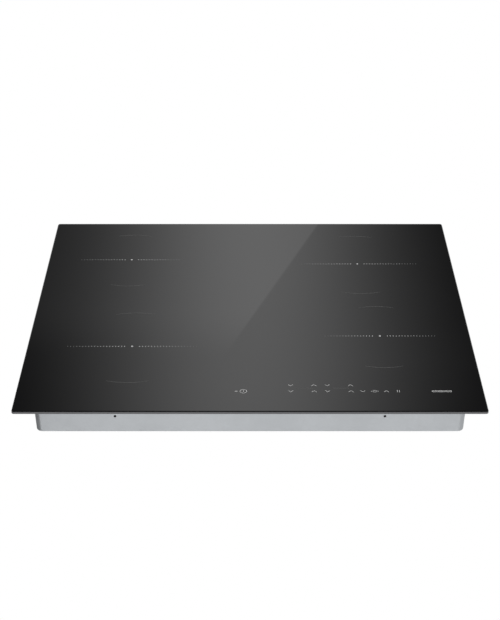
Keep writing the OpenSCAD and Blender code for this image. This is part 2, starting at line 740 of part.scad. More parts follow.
module fan_cover(side) {
    color("#1f2124") at_fan(side) difference() {
        translate([0, 0, fan_h - fan_wall]) linear_extrude(fan_wall) fan_outline(0);
        for (a = [0:120:240]) rotate(a) disc(1.3, fan_h - fan_wall - cut, fan_h + cut, [10, 0]);
    }
}

shaft_r = 1.5;
cup_r = 17;
cup_wall = 2;
cup_z = 6;
plate_z = 20;                             // the wheel's back plate
blade_z = 2.7;                            // open end of the blades
poles_in_motor = 9;
module fan_motor(side) {
    top = fan_h - fan_wall;
    color("#8a5a2e") at_fan(side) difference() {
        union() {
            disc(13.6, top - 1.4, top);
            disc(4, 9, top);
            for (k = [0:poles_in_motor - 1]) rotate(k * 360 / poles_in_motor) {
                slab([3, 12.5], [-1.2, 1.2], 10.5, 17.5);
                slab([5.5, 11], [-2, 2], 10, 18);
                slab([11.6, 13.4], [-3.4, 3.4], 10.5, 17.5);
            }
        }
        disc(shaft_r + 0.05, 8, top - 2.5);
    }
}

module blade() {
    inner = 31;
    arc = [for (k = [0:4]) let (t = k / 4) [inner + (wheel_r - inner - 0.4) * t, 2.6 * t * t]];
    polygon(concat([for (p = arc) p + [0, -0.45]], [for (k = [4:-1:0]) arc[k] + [0, 0.45]]));
}
module fan_rotor(side) {
    color("#121315") at_fan(side) {
        difference() {
            disc(cup_r, cup_z, plate_z + 1.2);
            disc(cup_r - cup_wall, cup_z + 1.5, plate_z + 2);
        }
        disc(shaft_r, cup_z + 1, 19);
        ring(wheel_r, cup_r - 0.5, plate_z, plate_z + 1.2);
        ring(wheel_r, 34, blade_z, blade_z + 1.2);
        translate([0, 0, blade_z]) linear_extrude(plate_z + 0.4 - blade_z) difference() {
            for (k = [0:blades - 1]) rotate(k * 360 / blades) blade();
            circle(30.9);
        }
    }
}

//------------------------------------------------------------------ touch control

module control_board() {
    color("#1e5a34") slab(CONTROL_X, CONTROL_Y, control_z, control_z + board_t);
}

module control_bracket() {
    x = [CONTROL_X[0] - 2.5, CONTROL_X[1] + 2.5];
    y = [CONTROL_Y[0] - 2.5, CONTROL_Y[1] + 2.5];
    color("#2d2f33") {
        slab(x, y, control_z - 4, control_z - 2);
        difference() {
            slab(x, y, control_z - 4, control_z + 2);
            slab([x[0] + 1.8, x[1] - 1.8], [y[0] + 1.8, y[1] - 1.8], control_z - 5, control_z + 3);
        }
        for (px = [-22, 46, 134, 200], py = [-215, -197]) disc(2.5, control_z - 3, control_z, [px, py]);
        for (px = [-20, 89, 198]) disc(5, sheet, control_z - 3, [px, -206]);
    }
}

module display_modules() {
    color("#2a0f10") for (d = DISPLAYS)
        slab([d[0] - d[2] / 2, d[0] + d[2] / 2], [d[1] - d[3] / 2, d[1] + d[3] / 2],
             control_z + board_t, control_z + board_t + 7);
}

// Sensor spring under each key: a foot, a coil drawn as stacked ridges, a head against the glass
ridges = 6;
module touch_springs() {
    z0 = control_z + board_t;
    pitch = (mat_top - z0 - 1.6) / ridges;
    ridge = concat([for (k = [0:ridges - 1], h = [0, 0.5]) [h == 0 ? 3 : 3.7, 0.8 + (k + h) * pitch]],
        [[3, 0.8 + ridges * pitch]]);
    color("#b9bcc0") for (k = KEYS) translate([k[0], k[1], z0]) rotate_extrude()
        polygon(concat([[2.5, 0], [4, 0], [4, 0.8]], ridge,
            [[4.6, 0.8 + ridges * pitch], [4.6, mat_top - z0], [1, mat_top - z0], [1, 0.8 + ridges * pitch],
             [2.5, 0.8 + ridges * pitch]]));
}

RIBBON_X = [91, 103];
ribbon_t = 0.9;
// From the control board over its bracket, down past the coil plate and back to the power board: [y, z]
RIBBON_RUN = [[-193, 41], [-188, 41], [-185.2, 37], [-185, 31], [-178, 27], [-150, 26], [-60, 26],
              [-44, 23.5], [-34, 18], [-32, 13]];
module control_ribbon() {
    c = curve(RIBBON_RUN, 4);
    n = len(c);
    edge = [for (k = [0:n - 1]) let (d = heading(c, k)) ribbon_t / 2 * [-d[1], d[0]]];
    outline = concat([for (k = [0:n - 1]) c[k] + edge[k]], [for (k = [n - 1:-1:0]) c[k] - edge[k]]);
    socket_x = [RIBBON_X[0] - 1, RIBBON_X[1] + 1];
    color("#8f9396") {
        translate([RIBBON_X[0], 0, 0]) rotate([90, 0, 90])
            linear_extrude(RIBBON_X[1] - RIBBON_X[0]) polygon(outline);
        slab(socket_x, [-195, -191.2], control_z + board_t, 42);
        slab(socket_x, [-35, -29], parts_z, 15);
    }
}

//------------------------------------------------------------------ the pieces

glass_plate();
worktop_seal();
base_tray();
adhesive_beads();
rail_screws();
floor_screws();
deck_posts();
deck_screws();
coil_plate();
coil_sensors();
coil_springs();
coil_leads();
power_transistors();
film_capacitors();
supply_transformers();
filter_board();
filter_chokes();
terminal_box();
terminal_block();
terminal_screws();
terminal_cover();
cable_clamp();
clamp_screws();
control_board();
control_bracket();
display_modules();
touch_springs();
control_ribbon();
for (k = [0:len(CORNERS) - 1]) {
    coil_former(ZONES[k]);
    coil_winding(ZONES[k]);
    ferrite_bars(ZONES[k]);
    insulation_mat(ZONES[k]);
}
for (s = SIDES) {
    glass_rail(s);
    board_carrier(s);
    power_board(s);
    heat_sink(s);
    fan_housing(s);
    fan_cover(s);
    fan_motor(s);
    fan_rotor(s);
}
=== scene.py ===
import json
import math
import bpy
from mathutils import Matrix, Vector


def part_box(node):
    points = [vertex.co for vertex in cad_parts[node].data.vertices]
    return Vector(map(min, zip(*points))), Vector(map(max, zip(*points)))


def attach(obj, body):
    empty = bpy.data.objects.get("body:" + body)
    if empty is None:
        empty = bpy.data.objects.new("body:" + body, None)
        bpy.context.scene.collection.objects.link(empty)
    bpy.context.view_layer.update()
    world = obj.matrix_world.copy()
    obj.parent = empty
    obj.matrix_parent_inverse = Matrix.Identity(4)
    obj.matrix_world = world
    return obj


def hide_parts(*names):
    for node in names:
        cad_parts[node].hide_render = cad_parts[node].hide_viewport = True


bl_info = {
    "name": "Induction Hob",
    "version": (1, 0, 0),
    "blender": (4, 5, 0),
    "location": "3D View > Sidebar > Hob",
    "description": "Builds the visible pieces of a built-in induction hob round its fixed frame",
    "category": "Add Mesh",
}

from contextlib import contextmanager

import bmesh
import bpy
from mathutils import Matrix, Vector

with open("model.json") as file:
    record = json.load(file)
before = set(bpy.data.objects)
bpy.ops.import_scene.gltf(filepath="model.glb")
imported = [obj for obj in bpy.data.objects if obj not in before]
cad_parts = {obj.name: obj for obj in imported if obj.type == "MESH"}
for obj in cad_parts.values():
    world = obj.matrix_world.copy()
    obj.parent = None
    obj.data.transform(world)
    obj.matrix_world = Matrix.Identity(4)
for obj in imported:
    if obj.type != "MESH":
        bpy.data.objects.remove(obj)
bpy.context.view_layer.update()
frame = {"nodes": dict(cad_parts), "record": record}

MM = 0.001
ROUND_END = 0.998  # of half a slot's width, just before its two bevels meet
CORNERS = ("rear_left", "front_left", "rear_right", "front_right")
SIDES = {"left": -1, "right": 1}
HOB = "hob"
LID = "terminal_lid"

GLASS_LOW, GLASS_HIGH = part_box("glass_plate")
TRAY_LOW, TRAY_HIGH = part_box("base_tray")
DRAFT = math.tan(math.radians(2))


# ---- what a user may change


class HobSizes(bpy.types.PropertyGroup):
    """Sizes of the visible details, in metres"""

    def length(title, words, default):
        return bpy.props.FloatProperty(
            name=title, description=words, default=default, min=0, precision=5, unit="LENGTH",
            subtype="DISTANCE",
        )

    glass_corner: length("Glass corner", "Radius of the glass's corners in plan", 3.5 * MM)
    glass_bevel: length("Glass bevel", "Width of the bevel ground round the glass's top edge", 1.0 * MM)
    glass_arris: length("Glass arris", "Rounding left on each ground edge", 0.12 * MM)
    print_lift: length("Print thickness", "How far the prints stand above the glass", 0.03 * MM)
    arc_line: length("Arc line", "Width of the printed zone arcs", 0.7 * MM)
    dot_radius: length("Dot radius", "Half the width of the dots across each zone", 0.58 * MM)
    dot_pitch: length("Dot pitch", "Distance between the dots across each zone", 4.0 * MM)
    first_dot: length("First dot", "Distance of the first dot from the zone's centre", 10.0 * MM)
    centre_dot: length("Centre dot", "Half the width of the dot in each zone's centre", 1.35 * MM)
    key_line: length("Key line", "Width of the lines in the key symbols", 0.65 * MM)
    sheet: length("Sheet", "Thickness of the tray's sheet steel", 1.0 * MM)
    tray_corner: length("Tray corner", "Radius of the tray's upright corners", 8.0 * MM)
    floor_bend: length("Floor bend", "Radius between the tray's floor and walls", 1.5 * MM)
    vent: length("Vent", "Width of the slots punched for the cooling air", 3.0 * MM)
    litz: length("Litz wire", "Diameter of the coils' wire bundle", 2.8 * MM)


class HobColours(bpy.types.PropertyGroup):
    """Base colours of the finishes, in linear light"""

    def colour(title, words, default):
        return bpy.props.FloatVectorProperty(
            name=title, description=words, default=default, min=0, max=1, size=3, subtype="COLOR"
        )

    glass: colour("Glass", "Black glass ceramic", (0.002, 0.002, 0.0023))
    ground_edge: colour("Ground edge", "Matt ground edge of the glass", (0.11, 0.11, 0.115))
    enamel: colour("Enamel", "Prints fired on the glass", (0.55, 0.55, 0.55))
    zinc: colour("Zinc", "Zinc-coated sheet steel", (0.53, 0.55, 0.57))
    plastic: colour("Black plastic", "Moulded black plastic", (0.022, 0.023, 0.025))
    resin: colour("Resin", "Natural glass-filled resin", (0.62, 0.58, 0.48))
    copper: colour("Copper", "Lacquered copper wire", (0.55, 0.22, 0.08))
    ferrite: colour("Ferrite", "Sintered ferrite", (0.05, 0.05, 0.055))
    felt: colour("Mineral felt", "Pressed mineral fibre", (0.72, 0.69, 0.62))
    aluminium: colour("Aluminium", "Mill-finish aluminium", (0.74, 0.75, 0.77))
    screw: colour("Screws", "Bright zinc-plated screws", (0.66, 0.66, 0.63))
    brass: colour("Brass", "Terminal screws", (0.66, 0.5, 0.22))
    mask: colour("Solder mask", "Green solder mask", (0.012, 0.09, 0.03))
    rubber: colour("Rubber", "Foam seal and adhesive", (0.018, 0.018, 0.018))


# ---- modelling helpers


class Builder:
    """What the operators share: each one builds its pieces with the sizes in the panel."""

    def execute(self, context):
        self.build(context.scene.hob_sizes)
        return {"FINISHED"}


def mm(*lengths):
    """A point or size given in millimetres."""
    return tuple(length * MM for length in lengths)


def only(*pieces):
    """Selects these pieces and nothing else, with the first one active."""
    bpy.ops.object.select_all(action="DESELECT")
    for piece in pieces:
        piece.select_set(True)
    bpy.context.view_layer.objects.active = pieces[0]


def settle(piece):
    """Puts the piece's place, turn and scale into its mesh."""
    only(piece)
    bpy.ops.object.transform_apply(location=True, rotation=True, scale=True)
    return piece


def added(operator, **settings):
    """The new object that an operator adds, with nothing else selected."""
    bpy.ops.object.select_all(action="DESELECT")
    operator(**settings)
    return bpy.context.object


def add_box(low, high):
    low, high = Vector(low), Vector(high)
    return settle(added(
        bpy.ops.mesh.primitive_cube_add, size=1, location=(low + high) / 2, scale=high - low
    ))


def add_block(x, y, half_x, half_y, low, high):
    """Box round an upright line, from one height to another."""
    return add_box((x - half_x, y - half_y, low), (x + half_x, y + half_y, high))


def add_disc(radius, z0, z1, at=(0, 0), sides=32, top_radius=None):
    """Upright cylinder, or a cone's frustum where top_radius is given."""
    return settle(added(
        bpy.ops.mesh.primitive_cone_add,
        vertices=sides,
        radius1=radius,
        radius2=radius if top_radius is None else top_radius,
        depth=z1 - z0,
        location=(*at, (z0 + z1) / 2),
    ))


def add_rod(radius, start, end, sides=24):
    """Cylinder between two points."""
    start, end = Vector(start), Vector(end)
    return settle(added(
        bpy.ops.mesh.primitive_cylinder_add,
        vertices=sides,
        radius=radius,
        depth=(end - start).length,
        location=(start + end) / 2,
        rotation=(end - start).to_track_quat("Z", "Y").to_euler(),
    ))


@contextmanager
def editing(piece, kind, chosen):
    """Edit mode with the vertices, edges or faces selected for which chosen(part) is true."""
    only(piece)
    bpy.ops.object.mode_set(mode="EDIT")
    bpy.ops.mesh.select_mode(type=kind)
    bpy.ops.mesh.select_all(action="DESELECT")
    mesh = bmesh.from_edit_mesh(piece.data)
    for part in {"VERT": mesh.verts, "EDGE": mesh.edges, "FACE": mesh.faces}[kind]:
        if chosen(part):
            part.select_set(True)
    mesh.select_flush_mode()
    bmesh.update_edit_mesh(piece.data)
    yield
    bpy.ops.object.mode_set(mode="OBJECT")


def along(axis):
    """A test for the edges that run along an axis."""
    return lambda edge: abs(getattr((edge.verts[0].co - edge.verts[1].co).normalized(), axis)) > 0.9


upright = along("z")


def at_height(z):
    """A test for the parts whose vertices all lie at height z."""
    return lambda part: all(abs(v.co.z - z) < 1e-6 for v in part.verts)


def bevel(piece, chosen, width, segments):
    with editing(piece, "EDGE", chosen):
        bpy.ops.mesh.bevel(offset=width, segments=segments, affect="EDGES")
    return piece


def taper(piece, z, scale, centre=(0, 0, 0)):
    """Scales the piece's end at height z about a centre."""
    with editing(piece, "FACE", at_height(z)):
        bpy.ops.transform.resize(value=scale, center_override=centre)
    return piece


def sink(piece, z, rims, depth):
    """Insets the face at height z by each rim in turn, then moves what they enclose along Z."""
    with editing(piece, "FACE", at_height(z)):
        for rim in rims:
            bpy.ops.mesh.inset(thickness=rim)
        bpy.ops.transform.translate(value=(0, 0, depth))
    return piece


def finish_with(piece, kind, **settings):
    """Adds a modifier and applies it."""
    only(piece)
    bpy.ops.object.modifier_add(type=kind)
    modifier = piece.modifiers[-1]
    for name, value in settings.items():
        setattr(modifier, name, value)
    bpy.ops.object.modifier_apply(modifier=modifier.name)
    return piece


def in_a_row(piece, count, pitch):
    """The piece and its copies along X."""
    return finish_with(
        piece, "ARRAY", count=count, use_relative_offset=False, use_constant_offset=True,
        constant_offset_displace=(pitch, 0, 0),
    )


def combine(piece, other, operation):
    """Cuts the other piece out of this one, or welds it on, and removes it."""
    finish_with(piece, "BOOLEAN", operation=operation, solver="EXACT", object=other)
    bpy.data.objects.remove(other)
    return piece


def join(pieces):
    only(*pieces)
    if len(pieces) > 1:
        bpy.ops.object.join()
    return bpy.context.object


def repeat(template, places):
    """Copies of the template at each place, joined in one mesh. The template is removed."""
    copies = []
    for place in places:
        only(template)
        bpy.ops.object.duplicate(linked=False)
        copy = bpy.context.object
        copy.matrix_world = place
        copies.append(copy)
    bpy.data.objects.remove(template)
    only(*copies)
    bpy.ops.object.transform_apply(location=True, rotation=True, scale=True)
    return join(copies)


def facing(point, axis):
    """Place with its origin at the point and its +Z along the axis."""
    return Matrix.Translation(point) @ Vector(axis).to_track_quat("Z", "Y").to_matrix().to_4x4()


def soften(piece, width, segments=2, angle=30):
    """Rounds every edge sharper than the angle and shades the piece smooth."""
    limit = math.radians(angle)
    finish_with(piece, "BEVEL", width=width, segments=segments, limit_method="ANGLE", angle_limit=limit)
    return smooth(piece, angle)


def smooth(piece, angle=30):
    only(piece)
    bpy.ops.object.shade_smooth_by_angle(angle=math.radians(angle))
    return finish_with(piece, "WEIGHTED_NORMAL", keep_sharp=True)


def hand_over(piece, name, finish, slot, *nodes, body=HOB):
    """Names the finished piece, gives it its finish and makes it ride on its body."""
    piece.name = name
    piece.data.name = name
    piece.data.materials.clear()
    for layer in finish if isinstance(finish, (list, tuple)) else [finish]:
        piece.data.materials.append(layer)
    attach(piece, body)
    if nodes:
        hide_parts(*nodes)
    return piece


def add_slot(length, width, low, high, centre=(0, 0)):
    """Slot with round ends, lying along X."""
    shape = add_block(*centre, length / 2, width / 2, low, high)
    return bevel(shape, upright, width / 2 * ROUND_END, 6)


def turned(profile, steps=32, at=(0, 0, 0)):
    """A closed profile of (radius, height) points spun once round the upright axis through a place."""
    piece = added(bpy.ops.mesh.primitive_circle_add, vertices=len(profile), radius=1)
    for vertex, (radius, height) in zip(piece.data.vertices, profile):
        vertex.co = (radius, 0, height)
    with editing(piece, "EDGE", lambda edge: True):
        bpy.ops.mesh.spin(steps=steps, angle=math.tau, center=(0, 0, 0), axis=(0, 0, 1))
        bpy.ops.mesh.select_all(action="SELECT")
        bpy.ops.mesh.remove_doubles(threshold=1e-6)
        bpy.ops.mesh.delete_loose()
        bpy.ops.mesh.select_all(action="SELECT")
        bpy.ops.mesh.normals_make_consistent(inside=False)
    piece.location = at
    return settle(piece)


def wire(points, radius, sides=3):
    """Round wire along a line of points, with closed ends."""
    path = added(bpy.ops.curve.primitive_nurbs_path_add)
    path.data.splines.clear()
    spline = path.data.splines.new("POLY")
    spline.points.add(len(points) - 1)
    for point, place in zip(spline.points, points):
        point.co = (*place, 1)
    path.data.dimensions = "3D"
    path.data.bevel_depth = radius
    path.data.bevel_resolution = sides
    path.data.use_fill_caps = True
    bpy.ops.object.convert(target="MESH")
    wired = settle(bpy.context.object)
    with editing(wired, "VERT", lambda vertex: True):
        bpy.ops.mesh.remove_doubles(threshold=1e-6)
        bpy.ops.mesh.normals_make_consistent(inside=False)
    return smooth(wired, 50)


def roughen(piece, size, depth, seed_name):
    """Pushes the surface in and out a little, as foam and pressed fibre have it."""
    lumps = bpy.data.textures.get(seed_name) or bpy.data.textures.new(seed_name, "CLOUDS")
    lumps.noise_scale = size
    finish_with(piece, "DISPLACE", texture=lumps, strength=depth, mid_level=0.5, texture_coords="LOCAL")
    return smooth(piece, 60)


# ---- shader helpers


class Shader:
    """Short hand for building a node tree."""

    def __init__(self, tree):
        self.tree = tree
        self.surface = tree.nodes.get("Principled BSDF")
        self.position = None

    def node(self, kind, inputs=None, **settings):
        made = self.tree.nodes.new(kind)
        for name, value in settings.items():
            setattr(made, name, value)
        for name, value in (inputs or {}).items():
            self.feed(made.inputs[name], value)
        return made

    def feed(self, socket, value):
        if isinstance(value, bpy.types.NodeSocket):
            self.tree.links.new(value, socket)
        else:
            socket.default_value = value

    def paint(self, **sockets):
        """Feeds sockets of the Principled shader, written with _ for each space."""
        for label, value in sockets.items():
            self.feed(self.surface.inputs[label.replace("_", " ")], value)

    def shared(self, group, scale):
        """Outputs of a shared effect, on the finish's own position."""
        inputs = {"Position": self.position, "Scale": scale}
        return self.node("ShaderNodeGroup", inputs, node_tree=group).outputs

    def patches(self, scale):
        return self.shared(mottle(), scale)["Patches"]

    def bump(self, height, depth, strength):
        inputs = {"Height": height, "Distance": depth, "Strength": strength}
        self.paint(Normal=self.node("ShaderNodeBump", inputs).outputs["Normal"])

    def math(self, operation, *values):
        return self.node("ShaderNodeMath", dict(enumerate(values)), operation=operation).outputs[0]

    def noise(self, position, scale, detail):
        return self.node(
            "ShaderNodeTexNoise", {"Vector": position, "Scale": scale, "Detail": detail}
        ).outputs["Fac"]

    def cells(self, position, scale, feature="F1", **inputs):
        return self.node(
            "ShaderNodeTexVoronoi", {"Vector": position, "Scale": scale, **inputs}, feature=feature
        ).outputs

    def mapped(self, position, **inputs):
        return self.node("ShaderNodeMapping", {"Vector": position, **inputs}).outputs["Vector"]

    def vector(self, operation, *values):
        return self.node("ShaderNodeVectorMath", dict(enumerate(values)), operation=operation).outputs

    def split(self, vector):
        return self.node("ShaderNodeSeparateXYZ", {"Vector": vector}).outputs

    def times(self, a, b):
        return self.math("MULTIPLY", a, b)

    def plus(self, a, b):
        return self.math("ADD", a, b)

    def distance(self, x, y):
        return self.math("SQRT", self.plus(self.times(x, x), self.times(y, y)))

    def ramp(self, value, low, high, to_low=0.0, to_high=1.0, smooth_step=True):
        made = self.node(
            "ShaderNodeMapRange",
            {"Value": value, "From Min": low, "From Max": high, "To Min": to_low, "To Max": to_high},
        )
        made.interpolation_type = "SMOOTHSTEP" if smooth_step else "LINEAR"
        return made.outputs["Result"]

    def tones(self, factor, colour, low, high):
        """One colour, from darker to lighter by a factor."""
        return self.mix(factor, shade(colour, low), shade(colour, high))

    def mix(self, factor, a, b):
        made = self.tree.nodes.new("ShaderNodeMix")
        made.data_type = "RGBA"
        self.feed(made.inputs["Factor"], factor)
        for socket, value in ((made.inputs[6], a), (made.inputs[7], b)):
            self.feed(socket, value if isinstance(value, bpy.types.NodeSocket) else (*value, 1))
        return made.outputs[2]


def effect(name, inputs, outputs, build):
    """A shader node group with named inputs and outputs, built once and then shared."""
    group = bpy.data.node_groups.get(name)
    if group:
        return group
    group = bpy.data.node_groups.new(name, "ShaderNodeTree")
    for label, default in inputs.items():
        kind = "NodeSocketVector" if isinstance(default, tuple) else "NodeSocketFloat"
        socket = group.interface.new_socket(label, in_out="INPUT", socket_type=kind)
        socket.default_value = default
    for label in outputs:
        group.interface.new_socket(label, in_out="OUTPUT", socket_type="NodeSocketFloat")
    s = Shader(group)
    entry = group.nodes.new("NodeGroupInput")
    leave = group.nodes.new("NodeGroupOutput")
    for label, value in build(s, entry.outputs).items():
        s.feed(leave.inputs[label], value)
    return group


def mottle():
    """Soft uneven patches: a wide and a fine noise in one mask."""

    def build(s, given):
        wide = s.noise(given["Position"], given["Scale"], 3.0)
        fine = s.noise(given["Position"], s.times(given["Scale"], 9.0), 2.0)
        blend = s.plus(s.times(wide, 0.7), s.times(fine, 0.3))
        return {"Patches": s.ramp(blend, 0.35, 0.65)}

    return effect("Mottle", {"Position": (0, 0, 0), "Scale": 20.0}, ["Patches"], build)


def spangle():
    """Crystal flakes of a zinc coat: each flake has its own brightness, with a faint border."""

    def build(s, given):
        flakes = s.cells(given["Position"], given["Scale"])
        tone = s.node("ShaderNodeSeparateColor", {"Color": flakes["Color"]}).outputs["Red"]
        edge = s.cells(given["Position"], given["Scale"], feature="DISTANCE_TO_EDGE")
        return {"Flakes": tone, "Borders": s.ramp(edge["Distance"], 0.0, 0.06)}

    return effect("Zinc Spangle", {"Position": (0, 0, 0), "Scale": 150.0}, ["Flakes", "Borders"], build)


def grain():
    """Fine spark-eroded grain of a moulded surface, as a height."""

    def build(s, given):
        coarse = s.noise(given["Position"], given["Scale"], 4.0)
        pits = s.cells(given["Position"], given["Scale"])["Distance"]
        return {"Height": s.plus(coarse, s.times(pits, 0.5))}

    return effect("Moulded Grain", {"Position": (0, 0, 0), "Scale": 1500.0}, ["Height"], build)


def new_finish(name, **sockets):
    """A material with these constants and its shader, or None for that where it was made before."""
    finish = bpy.data.materials.get(name)
    if finish:
        return finish, None
    finish = bpy.data.materials.new(name)
    finish.use_nodes = True
    s = Shader(finish.node_tree)
    s.paint(**sockets)
    s.position = s.node("ShaderNodeTexCoord").outputs["Object"]
    return finish, s


def hue(name):
    return getattr(bpy.context.scene.hob_colours, name)


def shade(colour, factor):
    return tuple(min(1.0, c * factor) for c in colour)


# ---- finishes


def black_glass():
    finish, s = new_finish("Black Glass Ceramic", Roughness=0.01, IOR=1.5)
    if s:
        colour = hue("glass")
        haze = s.patches(14.0)
        s.paint(Base_Color=s.tones(haze, colour, 0.9, 1.15))
        s.paint(Roughness=s.ramp(haze, 0, 1, 0.006, 0.016))
    return finish


def ground_edge():
    finish, s = new_finish("Ground Glass Edge", Roughness=0.35, IOR=1.5)
    if s:
        colour = hue("ground_edge")
        scratches = s.shared(grain(), 2600.0)["Height"]
        s.paint(Base_Color=s.tones(scratches, colour, 0.85, 1.2))
        s.bump(scratches, 0.00002, 0.4)
    return finish


def enamel(name="Fired Enamel", centre=None, reach=1.0, strength=1.0, across=False):
    """Fired print. With a centre it thins out towards its reach, as a halftone line does.

    Where it goes across, as on arcs, only the distance to the centre's left and right counts.
    """
    finish, s = new_finish(name, Roughness=0.45)
    if s:
        colour = shade(hue("enamel"), strength)
        dark = shade(hue("glass"), 2.0)
        cover = s.patches(400.0)
        full = s.mix(cover, shade(colour, 0.88), colour)
        if centre:
            offset = s.vector("SUBTRACT", s.position, centre)[0]
            if across:
                offset = s.vector("MULTIPLY", offset, (1, 0, 0))[0]
            distance = s.vector("LENGTH", offset)["Value"]
            fade = s.ramp(distance, reach * 0.25, reach, 0.0, 0.85, smooth_step=False)
            full = s.mix(fade, full, dark)
        s.paint(Base_Color=full)
    return finish


def zinc_sheet():
    finish, s = new_finish("Zinc Coated Sheet", Roughness=0.42, Metallic=0.9)
    if s:
        colour = hue("zinc")
        flakes = s.shared(spangle(), 170.0)
        haze = s.patches(9.0)
        tone = s.tones(flakes["Flakes"], colour, 0.97, 1.03)
        tone = s.mix(s.times(haze, 0.3), tone, shade(colour, 0.94))
        s.paint(Base_Color=tone)
        flake_rough = s.ramp(flakes["Flakes"], 0, 1, 0.40, 0.46)
        s.paint(Roughness=s.plus(flake_rough, s.ramp(haze, 0, 1, 0, 0.05)))
        s.bump(flakes["Borders"], 0.000015, 0.25)
    return finish


def moulded(name, colour, roughness=0.42, scale=1400.0):
    finish, s = new_finish(name, Roughness=roughness)
    if s:
        height = s.shared(grain(), scale)["Height"]
        haze = s.patches(25.0)
        s.paint(Base_Color=s.tones(haze, colour, 0.9, 1.12))
        s.paint(Roughness=s.ramp(haze, 0, 1, roughness - 0.04, roughness + 0.05))
        s.bump(height, 0.00004, 0.5)
    return finish


def black_plastic():
    return moulded("Moulded Black Plastic", hue("plastic"))


def resin():
    return moulded("Natural Resin", hue("resin"), roughness=0.5, scale=1000.0)


def rubber():
    return moulded("Black Rubber", hue("rubber"), roughness=0.75, scale=900.0)


def felt():
    finish, s = new_finish("Mineral Felt", Roughness=0.95)
    if s:
        colour = hue("felt")
        fibres = s.noise(s.mapped(s.position, Scale=(1, 1, 6)), 900.0, 6.0)
        clumps = s.patches(60.0)
        tone = s.tones(fibres, colour, 0.8, 1.1)
        s.paint(Base_Color=s.mix(clumps, tone, shade(colour, 0.93)))
        s.bump(fibres, 0.0003, 0.7)
    return finish


def worked_metal(name, colour, roughness, streak=(1, 1, 1), scale=300.0):
    """Bare or plated metal with fine streaks from rolling, drawing or turning."""
    finish, s = new_finish(name, Roughness=roughness, Metallic=1.0)
    if s:
        lines = s.noise(s.mapped(s.position, Scale=streak), scale, 5.0)
        haze = s.patches(30.0)
        s.paint(Base_Color=s.tones(lines, colour, 0.9, 1.06))
        line_rough = s.ramp(lines, 0.3, 0.7, roughness - 0.06, roughness + 0.06)
        s.paint(Roughness=s.plus(line_rough, s.ramp(haze, 0, 1, 0.0, 0.05)))
        s.bump(lines, 0.00002, 0.3)
    return finish


def plated_screw():
    return worked_metal("Zinc Plated Screw", hue("screw"), 0.26, scale=900.0)


def spring_steel():
    return worked_metal("Spring Steel", shade(hue("screw"), 0.85), 0.3, streak=(4, 0.2, 4))


def wound_copper():
    return worked_metal("Enamelled Copper", hue("copper"), 0.3, streak=(0.4, 0.4, 9), scale=500.0)


def litz(name, centre):
    """Stranded wire seen along a winding: slanted strands that follow each turn round the centre."""
    finish, s = new_finish(name, Roughness=0.36, Metallic=0.75)
    if s:
        colour = hue("copper")
        axis = s.split(s.mapped(s.position, Location=(-centre[0], -centre[1], 0)))
        radius = s.distance(axis["X"], axis["Y"])
        angle = s.math("ARCTAN2", axis["Y"], axis["X"])
        travel = s.times(s.times(angle, radius), 2600.0)
        lay = s.plus(travel, s.times(radius, 3400.0))
        strands = s.math("SINE", lay)
        s.paint(Base_Color=s.mix(s.ramp(strands, -1, 1), shade(colour, 0.55), colour))
        s.bump(strands, 0.0002, 0.6)
    return finish


def board_mask():
    """Green solder mask with the copper tracks showing faintly through it."""
    finish, s = new_finish("Solder Mask", Roughness=0.3, Coat_Weight=0.3)
    if s:
        colour = hue("mask")
        tracks = s.node(
            "ShaderNodeTexBrick",
            {
                "Vector": s.position, "Scale": 60.0, "Mortar Size": 0.06, "Mortar Smooth": 0.1,
                "Brick Width": 0.9,
            },
        ).outputs["Fac"]
        vias = s.cells(s.position, 220.0, Randomness=0.6)["Distance"]
        holes = s.ramp(vias, 0.12, 0.16, 1.0, 0.0)
        tone = s.tones(tracks, colour, 1.5, 0.7)
        s.paint(Base_Color=s.mix(s.times(holes, 0.5), tone, (0.5, 0.45, 0.3)))
        s.bump(tracks, 0.00004, 0.3)
    return finish


def satin_foil():
    return worked_metal("Satin Foil", hue("aluminium"), 0.45, streak=(0.1, 6, 1), scale=800.0)


def sleeve():
    return component("Shrunk Sleeve", (0.02, 0.022, 0.05), roughness=0.25)


def component(name, colour, roughness=0.32):
    return moulded(name, colour, roughness=roughness, scale=2400.0)


def slot_finishes():
    """The finish of each of the record's material slots."""
    return {
        "black_glass": black_glass(),
        "seal_foam": rubber(),
        "galvanised_steel": zinc_sheet(),
        "silicone": rubber(),
        "screw_steel": plated_screw(),
        "moulded_plastic": black_plastic(),
        "aluminium_sheet": worked_metal("Mill Aluminium", hue("aluminium"), 0.36, streak=(0.06, 3, 3)),
        "former_plastic": resin(),
        "litz_copper": wound_copper(),
        "ferrite": moulded("Sintered Ferrite", hue("ferrite"), roughness=0.5, scale=600.0),
        "mineral_felt": felt(),
        "sensor_silicone": moulded("Grey Silicone", (0.42, 0.42, 0.4), roughness=0.6),
        "spring_steel": spring_steel(),
        "lead_insulation": moulded("Red Sleeve", (0.42, 0.05, 0.03), roughness=0.45),
        "circuit_board": board_mask(),
        "component_black": component("Moulded Epoxy", (0.018, 0.018, 0.02)),
        "component_blue": component("Blue Film Box", (0.03, 0.1, 0.32)),
        "component_yellow": component("Yellow Core Tape", (0.62, 0.4, 0.04)),
        "winding_copper": wound_copper(),
        "brass": worked_metal("Terminal Brass", hue("brass"), 0.28, scale=700.0),
        "rotor_plastic": black_plastic(),
        "display_red": component("Smoked Display Face", (0.05, 0.008, 0.008), roughness=0.15),
        "ribbon_grey": moulded("Grey Ribbon", (0.26, 0.27, 0.29), roughness=0.5),
    }


# ---- glass and its prints


def zone_of(corner):
    """Centre and printed radius of a zone, from the former that carries its coil."""
    low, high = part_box("coil_former_" + corner)
    middle = (low + high) / 2
    return middle.x, middle.y, (high.x - low.x) / 2 - 1.0 * MM


